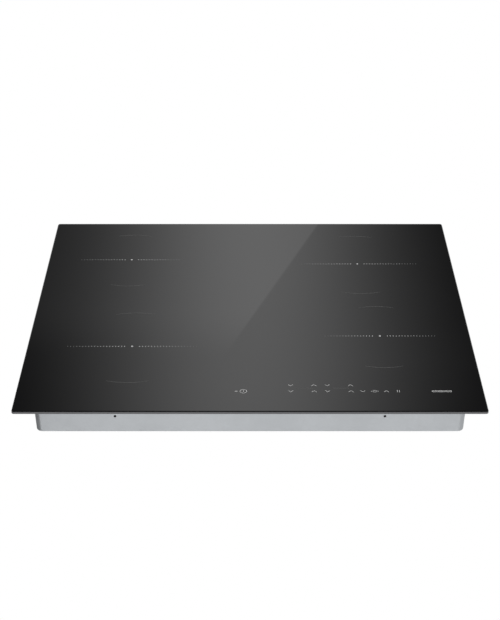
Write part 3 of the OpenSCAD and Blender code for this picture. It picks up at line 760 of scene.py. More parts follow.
class HOB_OT_glass(Builder, bpy.types.Operator):
    """Glass plate with round corners, a polished bevel on top and a matt ground edge"""

    bl_idname = "hob.glass"
    bl_label = "Glass plate"

    def build(self, sizes):
        plate = add_box(GLASS_LOW, GLASS_HIGH)
        bevel(plate, upright, sizes.glass_corner, 10)
        bevel(plate, at_height(GLASS_HIGH.z), sizes.glass_bevel, 1)
        soften(plate, sizes.glass_arris, segments=2)
        hand_over(plate, "glass", [black_glass(), ground_edge()], "black_glass", "glass_plate")
        for face in plate.data.polygons:
            face.material_index = 1 if abs(face.normal.z) < 0.3 else 0


def print_of(outline):
    """Gives a flat outline the thickness of a fired print, standing on the glass."""
    lift = bpy.context.scene.hob_sizes.print_lift
    settle(outline)
    with editing(outline, "FACE", lambda face: True):
        bpy.ops.mesh.extrude_region_move(TRANSFORM_OT_translate={"value": (0, 0, lift)})
        bpy.ops.mesh.select_all(action="SELECT")
        bpy.ops.mesh.normals_make_consistent(inside=False)
    return outline


def arc_print(centre, radius, width, start, end, sides=240):
    """Printed arc from one angle to another, in degrees, about a centre on the glass."""
    place_on_glass = (*centre, GLASS_HIGH.z)
    inner = radius - width / 2
    ring = settle(added(
        bpy.ops.mesh.primitive_circle_add, vertices=sides, radius=inner, location=place_on_glass
    ))
    middle = math.radians((start + end) / 2)
    half = math.radians((end - start) / 2) + 1e-4

    def outside(vertex):
        angle = math.atan2(vertex.co.y - centre[1], vertex.co.x - centre[0])
        return abs((angle - middle + math.pi) % math.tau - math.pi) > half

    if end - start < 360:
        with editing(ring, "VERT", outside):
            bpy.ops.mesh.delete(type="VERT")
    growth = (inner + width) / inner
    with editing(ring, "EDGE", lambda edge: True):
        bpy.ops.mesh.extrude_edges_move()
        bpy.ops.transform.resize(value=(growth, growth, 1), center_override=place_on_glass)
    return print_of(ring)


def line_print(start, end, width):
    """Printed straight stroke between two points on the glass."""
    start, end = Vector(start), Vector(end)
    run = end - start
    stroke = added(
        bpy.ops.mesh.primitive_plane_add,
        size=1,
        location=(*((start + end) / 2), GLASS_HIGH.z),
        rotation=(0, 0, math.atan2(run.y, run.x)),
    )
    stroke.scale = (run.length + width * 0.7, width, 1)
    return print_of(stroke)


def dot_print(centre, radius, sides=12, stretch=1):
    """Printed dot, stretched from front to back."""
    dot = added(
        bpy.ops.mesh.primitive_circle_add,
        vertices=sides, radius=radius, fill_type="NGON", location=(*centre, GLASS_HIGH.z),
    )
    dot.scale = (1, stretch, 1)
    return print_of(dot)


class HOB_OT_zone_marks(Builder, bpy.types.Operator):
    """Each zone's two arcs, its dotted line and the dot in its centre"""

    bl_idname = "hob.zone_marks"
    bl_label = "Zone marks"

    arc_half_angle = 18.0
    arc_fade = 0.663  # of the zone's radius, where an arc has thinned out

    def build(self, sizes):
        half = self.arc_half_angle
        for corner in CORNERS:
            x, y, radius = zone_of(corner)
            middle = (x, y, GLASS_HIGH.z)
            zone = corner.replace("_", " ")
            arcs = [
                arc_print((x, y), radius, sizes.arc_line, top - half, top + half) for top in (90, 270)
            ]
            arc_reach = radius * self.arc_fade
            faint = enamel("Arc Enamel " + zone, middle, arc_reach, strength=0.21, across=True)
            hand_over(join(arcs), "zone_arcs_" + corner, faint, "black_glass")
            reach = radius - 2 * MM
            count = int((reach - sizes.first_dot) / sizes.dot_pitch) + 1
            dots = [
                in_a_row(
                    dot_print((x + side * sizes.first_dot, y), sizes.dot_radius, stretch=2.2),
                    count, side * sizes.dot_pitch,
                )
                for side in (-1, 1)
            ]
            fading = enamel("Dot Enamel " + zone, middle, reach)
            hand_over(join(dots), "zone_dots_" + corner, fading, "black_glass")
            centre = dot_print((x, y), sizes.centre_dot, sides=24, stretch=1.4)
            hand_over(centre, "zone_centre_" + corner, enamel(), "black_glass")


# Places of the touch keys, in millimetres from the glass's middle
UPPER_KEYS = -200.4
LOWER_KEYS = -214.4
SLIDER_LINES = -207.2
POWER_KEY = (-8.4, -214.4)
DOWN_KEYS = (51.9, 98.8, 143.6)
UP_KEYS = (81.6, 128.5, 173.5)
TIMER_SIGN = (158.6, -214.4)
PAUSE_KEY = (188.6, -214.4)
COIL_SIGN = (243.8, -214.4)


def chevron(x, y, rise, line):
    """Arrow head that points up when rise is above 0, and down below it."""
    half_w, half_h = 2.9, 1.6
    tip = mm(x, y + rise * half_h)
    return [line_print(tip, mm(x + s * half_w, y - rise * half_h), line) for s in (-1, 1)]


class HOB_OT_key_symbols(Builder, bpy.types.Operator):
    """Symbols of the touch keys, all of them plain signs without lettering"""

    bl_idname = "hob.key_symbols"
    bl_label = "Key symbols"

    def build(self, sizes):
        line = sizes.key_line
        signs = []
        for row, columns in ((UPPER_KEYS, 2), (LOWER_KEYS, 3)):
            for x in DOWN_KEYS[:columns]:
                signs += chevron(x, row, -1, line)
            for x in UP_KEYS[:columns]:
                signs += chevron(x, row, 1, line)
        signs += self.power(line)
        signs += self.timer(line)
        x, y = PAUSE_KEY
        signs += [line_print(mm(x + s * 1.3, y - 2.2), mm(x + s * 1.3, y + 2.2), line) for s in (-1, 1)]
        hand_over(join(signs), "key_symbols", enamel("Key Enamel", strength=1.15), "black_glass")
        rules = [
            line_print(mm(x0, SLIDER_LINES + rise), mm(x1, SLIDER_LINES + rise), 0.45 * MM)
            for x0, x1 in ((58, 80), (106, 126))
            for rise in (-1.2, 1.2)
        ]
        hand_over(join(rules), "key_rules", enamel("Rule Enamel", strength=0.2), "black_glass")
        x, y = COIL_SIGN
        coil = [arc_print(mm(x + 2.7 * k, y), *mm(1.45, 0.7), 0, 360, sides=32) for k in range(-4, 5)]
        hand_over(join(coil), "coil_symbol", enamel("Sign Enamel", strength=1.4), "black_glass")

    def power(self, line):
        x, y = mm(*POWER_KEY)
        ring = arc_print((x, y), 4.2 * MM, line, 0, 360, sides=96)
        bar = line_print((x, y - 0.6 * MM), (x, y + 2.0 * MM), line * 1.2)
        dash = line_print((x - 10.4 * MM, y), (x - 8.2 * MM, y), line * 2)
        return [ring, bar, dash]

    def timer(self, line):
        x, y = mm(*TIMER_SIGN)
        face = arc_print((x, y), 2.4 * MM, line * 0.7, 0, 360, sides=48)
        hands = [line_print((x, y), end, line * 0.6) for end in ((x, y + 1.5 * MM), (x + 1.1 * MM, y))]
        dashes = [
            line_print((x + s * 3.4 * MM, y), (x + s * 4.6 * MM, y), line * 1.2) for s in (-1, 1)
        ]
        return [face, *hands, *dashes]


# ---- tray

CLIP_X = 171.5
CLIP_Z = 24.3
CLIP_R = 1.75
RAIL_SCREW_Y = (-150, 0, 150)
RAIL_SCREW_Z = 38
FAN_AT = (150, -100)
GRILLE_R = 34
GRILLE_PITCH = 6
GRILLE_RIB = 1.5  # half the rib down the middle of each grille
EXHAUST_X = [x for x in range(80, 233, 8) if abs(x - CLIP_X) > 6]
EXHAUST_Z = 26
EXHAUST_L = 18
DIMPLES = [(s * x, y) for s in (-1, 1) for x in (252, 72) for y in (-148, 166)]
DIMPLES += [(s * 46, y) for s in (-1, 1) for y in (38, 148)]
DIMPLE_R = 8
DIMPLE_H = 3
DIMPLE_FLARE = 1.5
DIMPLE_FLARE_UNDER = 0.9
STIFF_BEADS = [(0, -187, 420), (0, -171, 420), (0, -20, 76), (0, -50, 76), (0, -80, 76)]
BEAD_W = 9
BEAD_H = 0.7
HATCH = ((-44, 166), (44, 222))
RAIL_HOLE_R = 2.1
FLOOR_HOLE_R = 1.6
SPOUT_AT = (25, 12)
SPOUT_R = 8.3
UNDER = -1 * MM  # where cuts through the floor start


def tray_wall(z, side):
    """Outer face of a wall at a height: half the tray's width or depth there."""
    top = TRAY_HIGH.x if side == "x" else TRAY_HIGH.y
    return top - DRAFT * (TRAY_HIGH.z - z)


def wall_pin(x, side, z, radius):
    """Cutting pin through the front or rear wall."""
    y = tray_wall(z, "y")
    return add_rod(radius, (x, side * (y - 6 * MM), z), (x, side * (y + 6 * MM), z))


class HOB_OT_tray(Builder, bpy.types.Operator):
    """Pressed tray of zinc-coated sheet, with its dimples, beads, vents and screw holes"""

    bl_idname = "hob.tray"
    bl_label = "Tray"

    def build(self, sizes):
        shell = add_box(TRAY_LOW, TRAY_HIGH)
        taper(shell, TRAY_LOW.z, (tray_wall(0, "x") / TRAY_HIGH.x, tray_wall(0, "y") / TRAY_HIGH.y, 1))
        bevel(shell, upright, sizes.tray_corner, 8)
        bevel(shell, at_height(TRAY_LOW.z), sizes.floor_bend, 5)
        with editing(shell, "FACE", at_height(TRAY_HIGH.z)):
            bpy.ops.mesh.delete(type="FACE")
        finish_with(shell, "SOLIDIFY", thickness=sizes.sheet, offset=-1, use_even_offset=True)
        combine(shell, self.raised(sizes), "UNION")
        combine(shell, self.hollows(sizes), "DIFFERENCE")
        combine(shell, self.vents(sizes), "DIFFERENCE")
        smooth(shell, 35)
        hand_over(shell, "tray", zinc_sheet(), "galvanised_steel", "base_tray")

    def raised(self, sizes):
        """What the press pushes up into the hob, as solids."""
        t = sizes.sheet
        lumps = [
            add_disc((DIMPLE_R + DIMPLE_FLARE) * MM, t / 2, DIMPLE_H * MM, mm(x, y), 32, DIMPLE_R * MM)
            for x, y in DIMPLES
        ]
        lumps += [
            add_slot(length * MM + t, BEAD_W * MM + t, t / 2, t + BEAD_H * MM, mm(x, y))
            for x, y, length in STIFF_BEADS
        ]
        return join(lumps)

    def hollows(self, sizes):
        """The same shapes seen from below, one sheet thickness smaller."""
        t = sizes.sheet
        cups = [
            add_disc(
                (DIMPLE_R + DIMPLE_FLARE_UNDER) * MM, UNDER, DIMPLE_H * MM - t, mm(x, y), 32,
                (DIMPLE_R - 1) * MM,
            )
            for x, y in DIMPLES
        ]
        cups += [
            add_slot(length * MM - t, BEAD_W * MM - t, UNDER, BEAD_H * MM, mm(x, y))
            for x, y, length in STIFF_BEADS
        ]
        return join(cups)

    def vents(self, sizes):
        """Everything punched through the sheet."""
        cuts = [
            wall_pin(s * CLIP_X * MM, side, CLIP_Z * MM, CLIP_R * MM) for s in (-1, 1) for side in (-1, 1)
        ]
        z = RAIL_SCREW_Z * MM
        wall = tray_wall(z, "x")
        for s in (-1, 1):
            for y in mm(*RAIL_SCREW_Y):
                inside, outside = (s * (wall + reach) for reach in mm(-4, 4))
                cuts.append(add_rod(RAIL_HOLE_R * MM, (inside, y, z), (outside, y, z)))
            cuts += self.grille(s, sizes)
            cuts += [self.exhaust(s * x, sizes) for x in mm(*EXHAUST_X)]
        cuts += [add_disc(FLOOR_HOLE_R * MM, UNDER, 5 * MM, mm(x, y), 20) for x, y in DIMPLES]
        (x0, y0), (x1, y1) = HATCH
        cuts.append(add_box((*mm(x0, y0), UNDER), mm(x1, y1, 2)))
        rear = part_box("terminal_box")[1].y
        x, z = mm(*SPOUT_AT)
        cuts.append(add_rod(SPOUT_R * MM, (x, rear - 10 * MM, z), (x, rear + 3 * MM, z), 32))
        return join(cuts)

    def grille(self, side, sizes):
        rows = int(GRILLE_R / GRILLE_PITCH)
        slots = []
        for row in range(-rows, rows + 1):
            drop = row * GRILLE_PITCH
            length = math.sqrt(GRILLE_R ** 2 - drop ** 2) - GRILLE_RIB
            if length * MM <= 2 * sizes.vent:
                continue
            for half in (-1, 1):
                x = side * FAN_AT[0] + half * (GRILLE_RIB + length / 2)
                centre = mm(x, FAN_AT[1] + drop)
                slots.append(add_slot(length * MM, sizes.vent, UNDER, 2 * MM, centre))
        return slots

    def exhaust(self, x, sizes):
        """Upright slot through the rear wall."""
        z, half = mm(EXHAUST_Z, EXHAUST_L / 2)
        slot = add_block(x, tray_wall(z, "y"), sizes.vent / 2, 4 * MM, z - half, z + half)
        return bevel(slot, along("y"), sizes.vent / 2 * ROUND_END, 6)


# ---- seal, label and screws


class HOB_OT_seal(Builder, bpy.types.Operator):
    """Foam seal between the glass and the worktop, with the uneven skin of cut foam"""

    bl_idname = "hob.seal"
    bl_label = "Worktop seal"

    def build(self, sizes):
        low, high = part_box("worktop_seal")
        strip = bevel(add_box(low, high), upright, 6 * MM, 6)
        width = Vector(mm(8, 8, -1))
        window = bevel(add_box(low + width, high - width), upright, 2 * MM, 4)
        combine(strip, window, "DIFFERENCE")
        finish_with(strip, "REMESH", mode="VOXEL", voxel_size=1.1 * MM)
        roughen(strip, 6 * MM, 0.12 * MM, "Foam Skin")
        hand_over(strip, "foam_seal", rubber(), "seal_foam", "worktop_seal")


class HOB_OT_label(Builder, bpy.types.Operator):
    """Blank rating plate stuck on the tray's underside, with round corners and an embossed border"""

    bl_idname = "hob.label"
    bl_label = "Blank rating plate"

    def build(self, sizes):
        foil = bevel(add_box(mm(-60, 96, -0.12), mm(-16, 122, 0.02)), upright, 2.5 * MM, 5)
        sink(foil, -0.12 * MM, mm(1.6, 0.3), 0.05 * MM)
        hand_over(smooth(foil), "blank_label", satin_foil(), "aluminium_sheet")


POSTS = ((-245, -176), (245, -176), (-245, 203), (245, 203), (-78, 203), (78, 203), (0, -120))
CLAMP_SCREWS = ((13, 209), (37, 209))


class HOB_OT_screws(Builder, bpy.types.Operator):
    """Pan head screws with a cross recess: rails, floor, coil plate and cable clamp"""

    bl_idname = "hob.screws"
    bl_label = "Screws"

    def build(self, sizes):
        head = 3.8
        wall = tray_wall((RAIL_SCREW_Z + head) * MM, "x") + 0.02 * MM
        rails = [
            facing((s * wall, *mm(y, RAIL_SCREW_Z)), (s, 0, 0)) for s in (-1, 1) for y in RAIL_SCREW_Y
        ]
        self.put(rails, "rail_screws", 1.9, head, 2.2, 6.0, 0.7)
        # Each set's places, the height of its heads' seats, the way the heads face and the length
        for node, spots, z, way, length in (
            ("floor_screws", DIMPLES, DIMPLE_H - 1, -1, 4.5),
            ("deck_screws", POSTS, 31, 1, 10.0),
            ("clamp_screws", CLAMP_SCREWS, 5, -1, 14.0),
        ):
            places = [facing(mm(x, y, z), (0, 0, way)) for x, y in spots]
            self.put(places, node, 1.4, 3.2, 1.7, length, 0.9)

    def put(self, places, node, *sizes):
        hand_over(repeat(self.screw(*sizes), places), "pan_" + node, plated_screw(), "screw_steel", node)

    def screw(self, shank, head, rise, length, pitch):
        """One screw standing on its thread, all in millimetres."""
        dome = ((0, 1), (0.45, 0.97), (0.75, 0.82), (0.93, 0.55), (1, 0.3))
        profile = [(head * r, rise * z) for r, z in dome]
        profile += [(head * 0.98, 0.08), (head * 0.94, 0), (shank * 0.85, 0)]
        for k in range(int((length - 1.0) / pitch)):
            profile += [(shank, -0.2 - (k + 0.35) * pitch), (shank * 0.76, -0.2 - (k + 0.85) * pitch)]
        profile.append((0, -length))
        made = turned([mm(r, z) for r, z in profile], steps=24)
        foot = rise * 0.42 * MM
        arms = []
        for turn in (0, 90):
            arm = add_box((*mm(-head * 0.52, -0.42), foot), mm(head * 0.52, 0.42, rise * 1.5))
            taper(arm, foot, (0.55, 0.7, 1))
            arm.rotation_euler.z = math.radians(turn)
            arms.append(settle(arm))
        combine(arms[0], arms[1], "UNION")
        combine(made, arms[0], "DIFFERENCE")
        return smooth(made, 40)


# ---- terminal cover

# The closed cover, in millimetres: half its width, its front and rear edge, its lower and upper face
COVER_HALF = 42
COVER_Y = (168.5, 220.5)
COVER_Z = (0.6, 2.6)
HINGE_AT = (171, 3.2)


class HOB_OT_terminal_cover(Builder, bpy.types.Operator):
    """Hinged cover of the terminal box, with its hinge pin, ribs, grooves, finger notch and latches"""

    bl_idname = "hob.terminal_cover"
    bl_label = "Terminal cover"

    def build(self, sizes):
        pin_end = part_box("terminal_cover")[1].x
        half = COVER_HALF * MM
        front, rear = mm(*COVER_Y)
        under, inner = mm(*COVER_Z)
        plate = add_box((-half, front, under), (half, rear, inner))
        bevel(plate, upright, 3.5 * MM, 6)
        sink(plate, under, mm(2.2, 0.5), 0.35 * MM)
        notch = add_box((-6 * MM, rear - 2.5 * MM, under - MM), (6 * MM, rear + MM, inner + MM))
        combine(plate, bevel(notch, upright, 1.2 * MM, 4), "DIFFERENCE")
        grooves = []
        for k in range(-4, 5):
            groove = add_slot(18 * MM, 2 * MM, under - MM, under + 0.9 * MM, (0, 0))
            groove.rotation_euler.z = math.pi / 2
            groove.location = mm(k * 6, 187, 0)
            grooves.append(settle(groove))
        combine(plate, join(grooves), "DIFFERENCE")
        soften(plate, 0.22 * MM, segments=2, angle=50)
        pieces = [plate, self.barrel(half, mm(*HINGE_AT), pin_end)]
        for x in (-30, 0, 30):
            pieces.append(soften(add_box(mm(x - 0.6, 175, 2.3), mm(x + 0.6, 215, 2.9)), 0.15 * MM))
        pieces += [self.latch(x, rear, inner) for x in mm(-15, 15)]
        hand_over(
            join(pieces), "hinged_cover", black_plastic(), "moulded_plastic", "terminal_cover", body=LID
        )

    def barrel(self, half, axis, end):
        """Hinge barrel with a pin that stands out at each end."""
        r, pin, edge, tip = mm(2.2, 1.45, 0.2, 0.3)
        profile = [(0, end), (pin * 0.8, end), (pin, end - tip), (pin, half), (r - edge, half)]
        profile.append((r, half - edge))
        barrel = turned([(x, -z) for x, z in profile] + profile[::-1], steps=32)
        barrel.rotation_euler.y = math.pi / 2
        barrel.location = (0, *axis)
        return smooth(settle(barrel), 40)

    def latch(self, x, rear, inner):
        """Spring tongue with a hook, its lead-in slanted."""
        top = 8 * MM
        tongue = add_box((x - 4 * MM, rear - 1.6 * MM, inner - 0.8 * MM), (x + 4 * MM, rear, top))
        taper(tongue, top, (0.85, 0.6, 1), (x, rear - 1.3 * MM, top))
        half = 3.6 * MM
        hook = add_box((x - half, rear - 1.2 * MM, 2.2 * MM), (x + half, rear + 1.0 * MM, 3.4 * MM))
        with editing(hook, "EDGE", lambda e: all(v.co.y > rear and v.co.z > 3 * MM for v in e.verts)):
            bpy.ops.transform.translate(value=(0, -0.7 * MM, 0))
        return join([soften(tongue, 0.2 * MM), soften(hook, 0.12 * MM)])


# ---- coils

COIL_BORE_R = 18
MAT_BORE_R = 17.2


class HOB_OT_windings(Builder, bpy.types.Operator):
    """Flat spiral of stranded wire on each coil former"""

    bl_idname = "hob.windings"
    bl_label = "Coil windings"

    steps = 48

    def build(self, sizes):
        bundle = sizes.litz
        for corner in CORNERS:
            low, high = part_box("coil_winding_" + corner)
            x, y, z = (low + high) / 2
            inner = COIL_BORE_R * MM + bundle / 2
            outer = (high.x - low.x) / 2 - bundle / 2
            turns = int((outer - inner) / (bundle * 1.02))
            pitch = (outer - inner) / turns
            points = []
            for k in range(turns * self.steps + 1):
                angle = math.tau * k / self.steps
                radius = inner + pitch * k / self.steps
                points.append((x + radius * math.cos(angle), y + radius * math.sin(angle), z))
            coil = wire(points, bundle / 2, sides=2)
            finish = litz("Litz " + corner.replace("_", " "), (x, y))
            hand_over(coil, "litz_coil_" + corner, finish, "litz_copper", "coil_winding_" + corner)


class HOB_OT_mats(Builder, bpy.types.Operator):
    """Insulation mat of pressed fibre on each coil, soft at its edges"""

    bl_idname = "hob.mats"
    bl_label = "Insulation mats"

    def build(self, sizes):
        for corner in CORNERS:
            low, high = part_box("insulation_mat_" + corner)
            outer = (high.x - low.x) / 2 - 0.2 * MM
            inner = MAT_BORE_R * MM
            base, top = low.z + 0.1 * MM, high.z - 0.1 * MM
            soft = 0.8 * MM
            near = soft * 0.3
            rings = 16
            across = [inner + soft + (outer - inner - 2 * soft) * k / rings for k in range(rings + 1)]
            rim = [(outer - near, top - near), (outer, top - soft), (outer, base + soft)]
            rim.append((outer - near, base + near))
            bore = [(inner + near, base + near), (inner, base + soft), (inner, top - soft)]
            bore.append((inner + near, top - near))
            profile = [(r, top) for r in across] + rim + [(r, base) for r in reversed(across)] + bore
            middle = (low + high) / 2
            mat = turned(profile, steps=96, at=(middle.x, middle.y, 0))
            roughen(mat, 9 * MM, 0.18 * MM, "Fibre Lumps")
            hand_over(mat, "fibre_mat_" + corner, felt(), "mineral_felt", "insulation_mat_" + corner)


# ---- small parts on the boards


# Places on the left power board, in millimetres, mirrored to the right one
CANS = ((-84, 92, 5, 14), (-84, 106, 5, 14), (-243, 96, 6.5, 17))
CHIPS = ((-224, 122, 14, 10), (-176, 122, 10, 8), (-150, 150, 9, 6), (-226, 148, 12, 7))
CHIP_RESISTORS = [(-215 + 6 * (k % 12), 108 + 4 * (k // 12)) for k in range(24)]
HEADERS = ((-192, 160, 8), (-150, 164, 5))


class HOB_OT_board_parts(Builder, bpy.types.Operator):
    """Small parts soldered on the power boards: cans, chips, resistors and plug headers"""

    bl_idname = "hob.board_parts"
    bl_label = "Board parts"

    def build(self, sizes):
        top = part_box("power_board_left")[1].z
        for name, side in SIDES.items():

            def spot(x, y):
                return (*mm(-side * x, y), top)

            cans = [self.can(spot(x, y), *mm(r, h)) for x, y, r, h in CANS]
            hand_over(join(cans), "electrolytic_cans_" + name, sleeve(), "component_black")
            chips = [self.chip(spot(x, y), *mm(w, d)) for x, y, w, d in CHIPS]
            epoxy = component("Moulded Epoxy", (0.018, 0.018, 0.02))
            hand_over(join(chips), "chips_" + name, epoxy, "component_black")
            small = add_box(mm(-1.6, -0.8, 0), mm(1.6, 0.8, 0.6))
            bevel(small, lambda e: abs(e.verts[0].co.x) > 1.5 * MM, 0.12 * MM, 2)
            resistors = repeat(small, [Matrix.Translation(spot(x, y)) for x, y in CHIP_RESISTORS])
            dark = component("Resistor Body", (0.03, 0.03, 0.032))
            hand_over(resistors, "chip_resistors_" + name, dark, "component_black")
            headers = [self.header(spot(x, y), pins) for x, y, pins in HEADERS]
            hand_over(join(headers), "plug_headers_" + name, resin(), "former_plastic")

    def can(self, at, radius, height):
        """Aluminium can in its sleeve, with the rolled bead near its foot and a dished top."""
        foot = ((0, 0), (0.96, 0), (1, 0.3), (1, 1.2), (0.93, 1.8), (1, 2.4))
        top = ((1, 0.5), (0.94, 0), (0.84, 0), (0.8, 0.3), (0, 0.3))
        profile = [(radius * r, z * MM) for r, z in foot]
        profile += [(radius * r, height - z * MM) for r, z in top]
        return smooth(turned(profile, steps=24, at=at), 30)

    def chip(self, at, width, depth):
        """Moulded package with slanted sides and a row of legs along each long side."""
        x, y, z = at
        top = z + 2.2 * MM
        body = add_block(x, y, width / 2, depth / 2, z + 0.4 * MM, top)
        taper(body, top, (0.94, 0.9, 1), at)
        soften(body, 0.12 * MM, segments=1)
        pitch = 1.27 * MM
        legs = int(width / pitch) - 1
        parts = [body]
        for side in (-1, 1):
            reach = y + side * depth / 2
            near, far = sorted((reach, reach + side * 1.1 * MM))
            leg = add_box((x - 0.2 * MM, near, z), (x + 0.2 * MM, far, z + 1.2 * MM))
            with editing(leg, "FACE", lambda f: (f.calc_center_median().y - reach) * side > 1.0 * MM):
                bpy.ops.transform.resize(value=(1, 1, 0.2), center_override=(x, reach, z))
            leg.location.x = -(legs - 1) * pitch / 2
            parts.append(in_a_row(settle(leg), legs, pitch))
        return join(parts)

    def header(self, at, pins):
        """Open plug header with a wall round its pins."""
        x, y, z = at
        pitch, half_pin = mm(2.5, 0.32)
        top, tip = (z + rise for rise in mm(7, 6))
        shell = add_block(x, y, pins * pitch / 2 + 1.2 * MM, 2.9 * MM, z, top)
        soften(sink(shell, top, mm(0.7), -5.6 * MM), 0.15 * MM, segments=1)
        pin = add_block(x, y, half_pin, half_pin, z + MM, tip)
        bevel(pin, at_height(tip), 0.15 * MM, 1)
        pin.location.x = -(pins - 1) * pitch / 2
        return join([shell, in_a_row(settle(pin), pins, pitch)])


# ---- stage

CAMERA_AT = (0, -1.77635, 1.07254)
CAMERA_TILT = 60.0
CAMERA_LENS = 85.12
SENSOR_WIDTH = 36
FLOOR_DROP = 0.25
FLOOR_SIZE = 60
LAMP_AT = (0, -0.4, 2.2)
LAMP_SIZE = 2.4
LAMP_POWER = 45
SIDE_CARDS = (("card_left", -1, 0.17), ("card_right", 1, 0.68))
SIDE_CARD_AT = (0.42, -0.1, -0.11)
SIDE_CARD_SIZE = (0.28, 1.2, 1)
# Painted shade: a nearly black card below the front wall, seen only in the tray's lower bend, stands in
# for the shade under the hob
SHADE_CARD_AT = (0, -0.235, -0.12)
SHADE_CARD_SIZE = (0.54, 0.07, 1)
PAINTED_SHADE_TONE = 0.05
WHITE = (1, 1, 1, 1)


def emptied(block):
    """Shader of a material or world without any nodes in it."""
    block.use_nodes = True
    block.node_tree.nodes.clear()
    return Shader(block.node_tree)


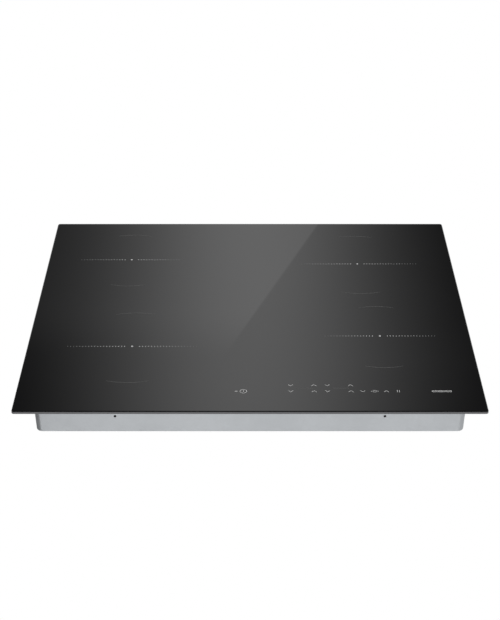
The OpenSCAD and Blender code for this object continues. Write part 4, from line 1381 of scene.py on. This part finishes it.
class HOB_OT_stage(Builder, bpy.types.Operator):
    """Pale floor, soft studio light and the camera"""

    bl_idname = "hob.stage"
    bl_label = "Stage"

    def build(self, sizes):
        self.floor()
        self.cards()
        scene = bpy.context.scene
        self.studio(scene)
        self.lamp()
        tilt = (math.radians(CAMERA_TILT), 0, 0)
        camera = added(bpy.ops.object.camera_add, location=CAMERA_AT, rotation=tilt)
        camera.data.lens = CAMERA_LENS
        camera.data.sensor_width = SENSOR_WIDTH
        camera.data.clip_start = 0.05
        scene.camera = camera
        scene.view_settings.view_transform = "Standard"
        scene.view_settings.look = "None"

    def floor(self):
        ground = (0, 0, -FLOOR_DROP)
        floor = settle(added(bpy.ops.mesh.primitive_plane_add, size=FLOOR_SIZE, location=ground))
        floor.name = "floor"
        paint = bpy.data.materials.new("Pale Floor")
        s = emptied(paint)
        glow = s.node("ShaderNodeEmission", {"Color": WHITE, "Strength": 1.0})
        clear = s.node("ShaderNodeBsdfTransparent")
        behind = s.node("ShaderNodeNewGeometry").outputs["Backfacing"]
        both = s.node("ShaderNodeMixShader", {0: behind, 1: glow.outputs[0], 2: clear.outputs[0]})
        s.node("ShaderNodeOutputMaterial", {"Surface": both.outputs[0]})
        floor.data.materials.append(paint)

    def cards(self):
        """Cards beside the front corners and below the front wall, out of the camera's sight. The nearly
        black one below the front wall is painted shade: the tray's lower bend reflects it in place of the
        shade under the hob.
        """
        x, y, z = SIDE_CARD_AT
        for name, side, tone in SIDE_CARDS:
            tilt = math.radians(-side * 90)
            self.card(name, (side * x, y, z), SIDE_CARD_SIZE, tone, tilt, rear_tone=1.0)
        # Painted shade: this dark card gives the tray's lower bend a reflection of the shade under the
        # hob
        self.card("card_under", SHADE_CARD_AT, SHADE_CARD_SIZE, PAINTED_SHADE_TONE)

    def card(self, name, spot, size, tone, tilt=0, rear_tone=None):
        """Card that only the metal reflects, lighter towards the rear where rear_tone is given."""
        card = added(bpy.ops.mesh.primitive_plane_add, size=1, location=spot, rotation=(0, tilt, 0))
        card.scale = size
        settle(card)
        card.name = name
        paint = bpy.data.materials.new(name.replace("_", " ").title())
        s = emptied(paint)
        if rear_tone is not None:
            y = s.split(s.node("ShaderNodeTexCoord").outputs["Object"])["Y"]
            tone = s.ramp(y, -0.05, 0.2, tone, rear_tone)
        light = s.node("ShaderNodeEmission", {"Color": WHITE, "Strength": tone})
        s.node("ShaderNodeOutputMaterial", {"Surface": light.outputs[0]})
        card.data.materials.append(paint)
        card.visible_camera = card.visible_diffuse = card.visible_shadow = False

    def studio(self, scene):
        """Soft boxes all round, one every 45 degrees, each with a slanting edge down its middle."""
        world = bpy.data.worlds.new("Studio")
        scene.world = world
        s = emptied(world)
        way = s.split(s.node("ShaderNodeTexCoord").outputs["Generated"])
        run = s.math("DIVIDE", s.distance(way["X"], way["Y"]), s.math("MAXIMUM", way["Z"], 0.02))
        sector = math.radians(22.5)
        turn = s.math("WRAP", s.math("ARCTAN2", way["X"], way["Y"]), sector, -sector)
        u = s.times(run, s.math("SINE", turn))
        v = s.times(run, s.math("COSINE", turn))
        # Each box is brightest along its middle and dims with the run outwards
        spread = s.math("DIVIDE", u, s.ramp(v, 1.42, 1.6, 0.118, 0.129, smooth_step=False))
        bell = s.math("EXPONENT", s.times(s.times(spread, spread), -0.5))
        peak = s.ramp(v, 1.543, 3.2, 1.235, 0.4, smooth_step=False)
        box = s.times(s.times(bell, peak), s.ramp(v, 0.75, 1.3))
        # The slanting edge, lighter on its left and fading away from it
        past = s.math("SUBTRACT", s.math("SUBTRACT", s.times(v, 0.3596), 0.612), u)
        fade = s.plus(s.times(s.math("EXPONENT", s.times(past, -10.0)), 0.65), 0.35)
        edge = s.times(s.times(s.ramp(past, 0.0, 0.003), fade), 0.24)
        edge = s.times(edge, s.times(s.ramp(v, 1.59, 1.74), s.ramp(v, 2.6, 3.2, 1.0, 0.0)))
        overhead = s.ramp(run, 0.05, 0.45, 0.45, 0.0)
        horizon = s.ramp(v, 3.0, 7.0, 0.0, 0.6)
        light = s.plus(s.plus(box, edge), s.plus(overhead, horizon))
        seen = s.node("ShaderNodeLightPath").outputs["Is Camera Ray"]
        strength = s.plus(s.times(light, s.math("SUBTRACT", 1.0, seen)), seen)
        sky = s.node("ShaderNodeBackground", {"Color": WHITE, "Strength": strength})
        s.node("ShaderNodeOutputWorld", {"Surface": sky.outputs[0]})

    def lamp(self):
        lamp = added(bpy.ops.object.light_add, type="AREA", location=LAMP_AT)
        lamp.name = "overhead_light"
        lamp.data.shape = "SQUARE"
        lamp.data.size = LAMP_SIZE
        lamp.data.energy = LAMP_POWER
        lamp.visible_glossy = lamp.visible_camera = False


# ---- the frame's own nodes


class HOB_OT_frame_finishes(Builder, bpy.types.Operator):
    """Finishes on the pieces that are shown as the frame has them"""

    bl_idname = "hob.frame_finishes"
    bl_label = "Frame finishes"

    def build(self, sizes):
        finishes = slot_finishes()
        for part in frame["record"]["subparts"]:
            node = frame["nodes"][part["node"]]
            if node.hide_render:
                continue
            if not node.material_slots:
                node.data.materials.append(None)
            for layer in node.material_slots:
                layer.material = finishes[part["material_slot"]]


# ---- panel and registration

OPERATORS = [
    HOB_OT_glass,
    HOB_OT_zone_marks,
    HOB_OT_key_symbols,
    HOB_OT_seal,
    HOB_OT_tray,
    HOB_OT_label,
    HOB_OT_screws,
    HOB_OT_terminal_cover,
    HOB_OT_windings,
    HOB_OT_mats,
    HOB_OT_board_parts,
    HOB_OT_frame_finishes,
    HOB_OT_stage,
]


class HOB_PT_panel(bpy.types.Panel):
    """Sizes, colours and a button for each group of pieces"""

    bl_idname = "HOB_PT_panel"
    bl_label = "Induction hob"
    bl_space_type = "VIEW_3D"
    bl_region_type = "UI"
    bl_category = "Hob"

    def draw(self, context):
        for group in (context.scene.hob_sizes, context.scene.hob_colours):
            column = self.layout.column(align=True)
            for name in group.__annotations__:
                column.prop(group, name)
        for operator in OPERATORS:
            self.layout.operator(operator.bl_idname)


CLASSES = [HobSizes, HobColours, *OPERATORS, HOB_PT_panel]


def register():
    for cls in CLASSES:
        bpy.utils.register_class(cls)
    bpy.types.Scene.hob_sizes = bpy.props.PointerProperty(type=HobSizes)
    bpy.types.Scene.hob_colours = bpy.props.PointerProperty(type=HobColours)


def unregister():
    del bpy.types.Scene.hob_colours
    del bpy.types.Scene.hob_sizes
    for cls in reversed(CLASSES):
        bpy.utils.unregister_class(cls)


def main():
    register()
    for operator in OPERATORS:
        family, name = operator.bl_idname.split(".")
        getattr(getattr(bpy.ops, family), name)()


if __name__ == "__main__":
    main()
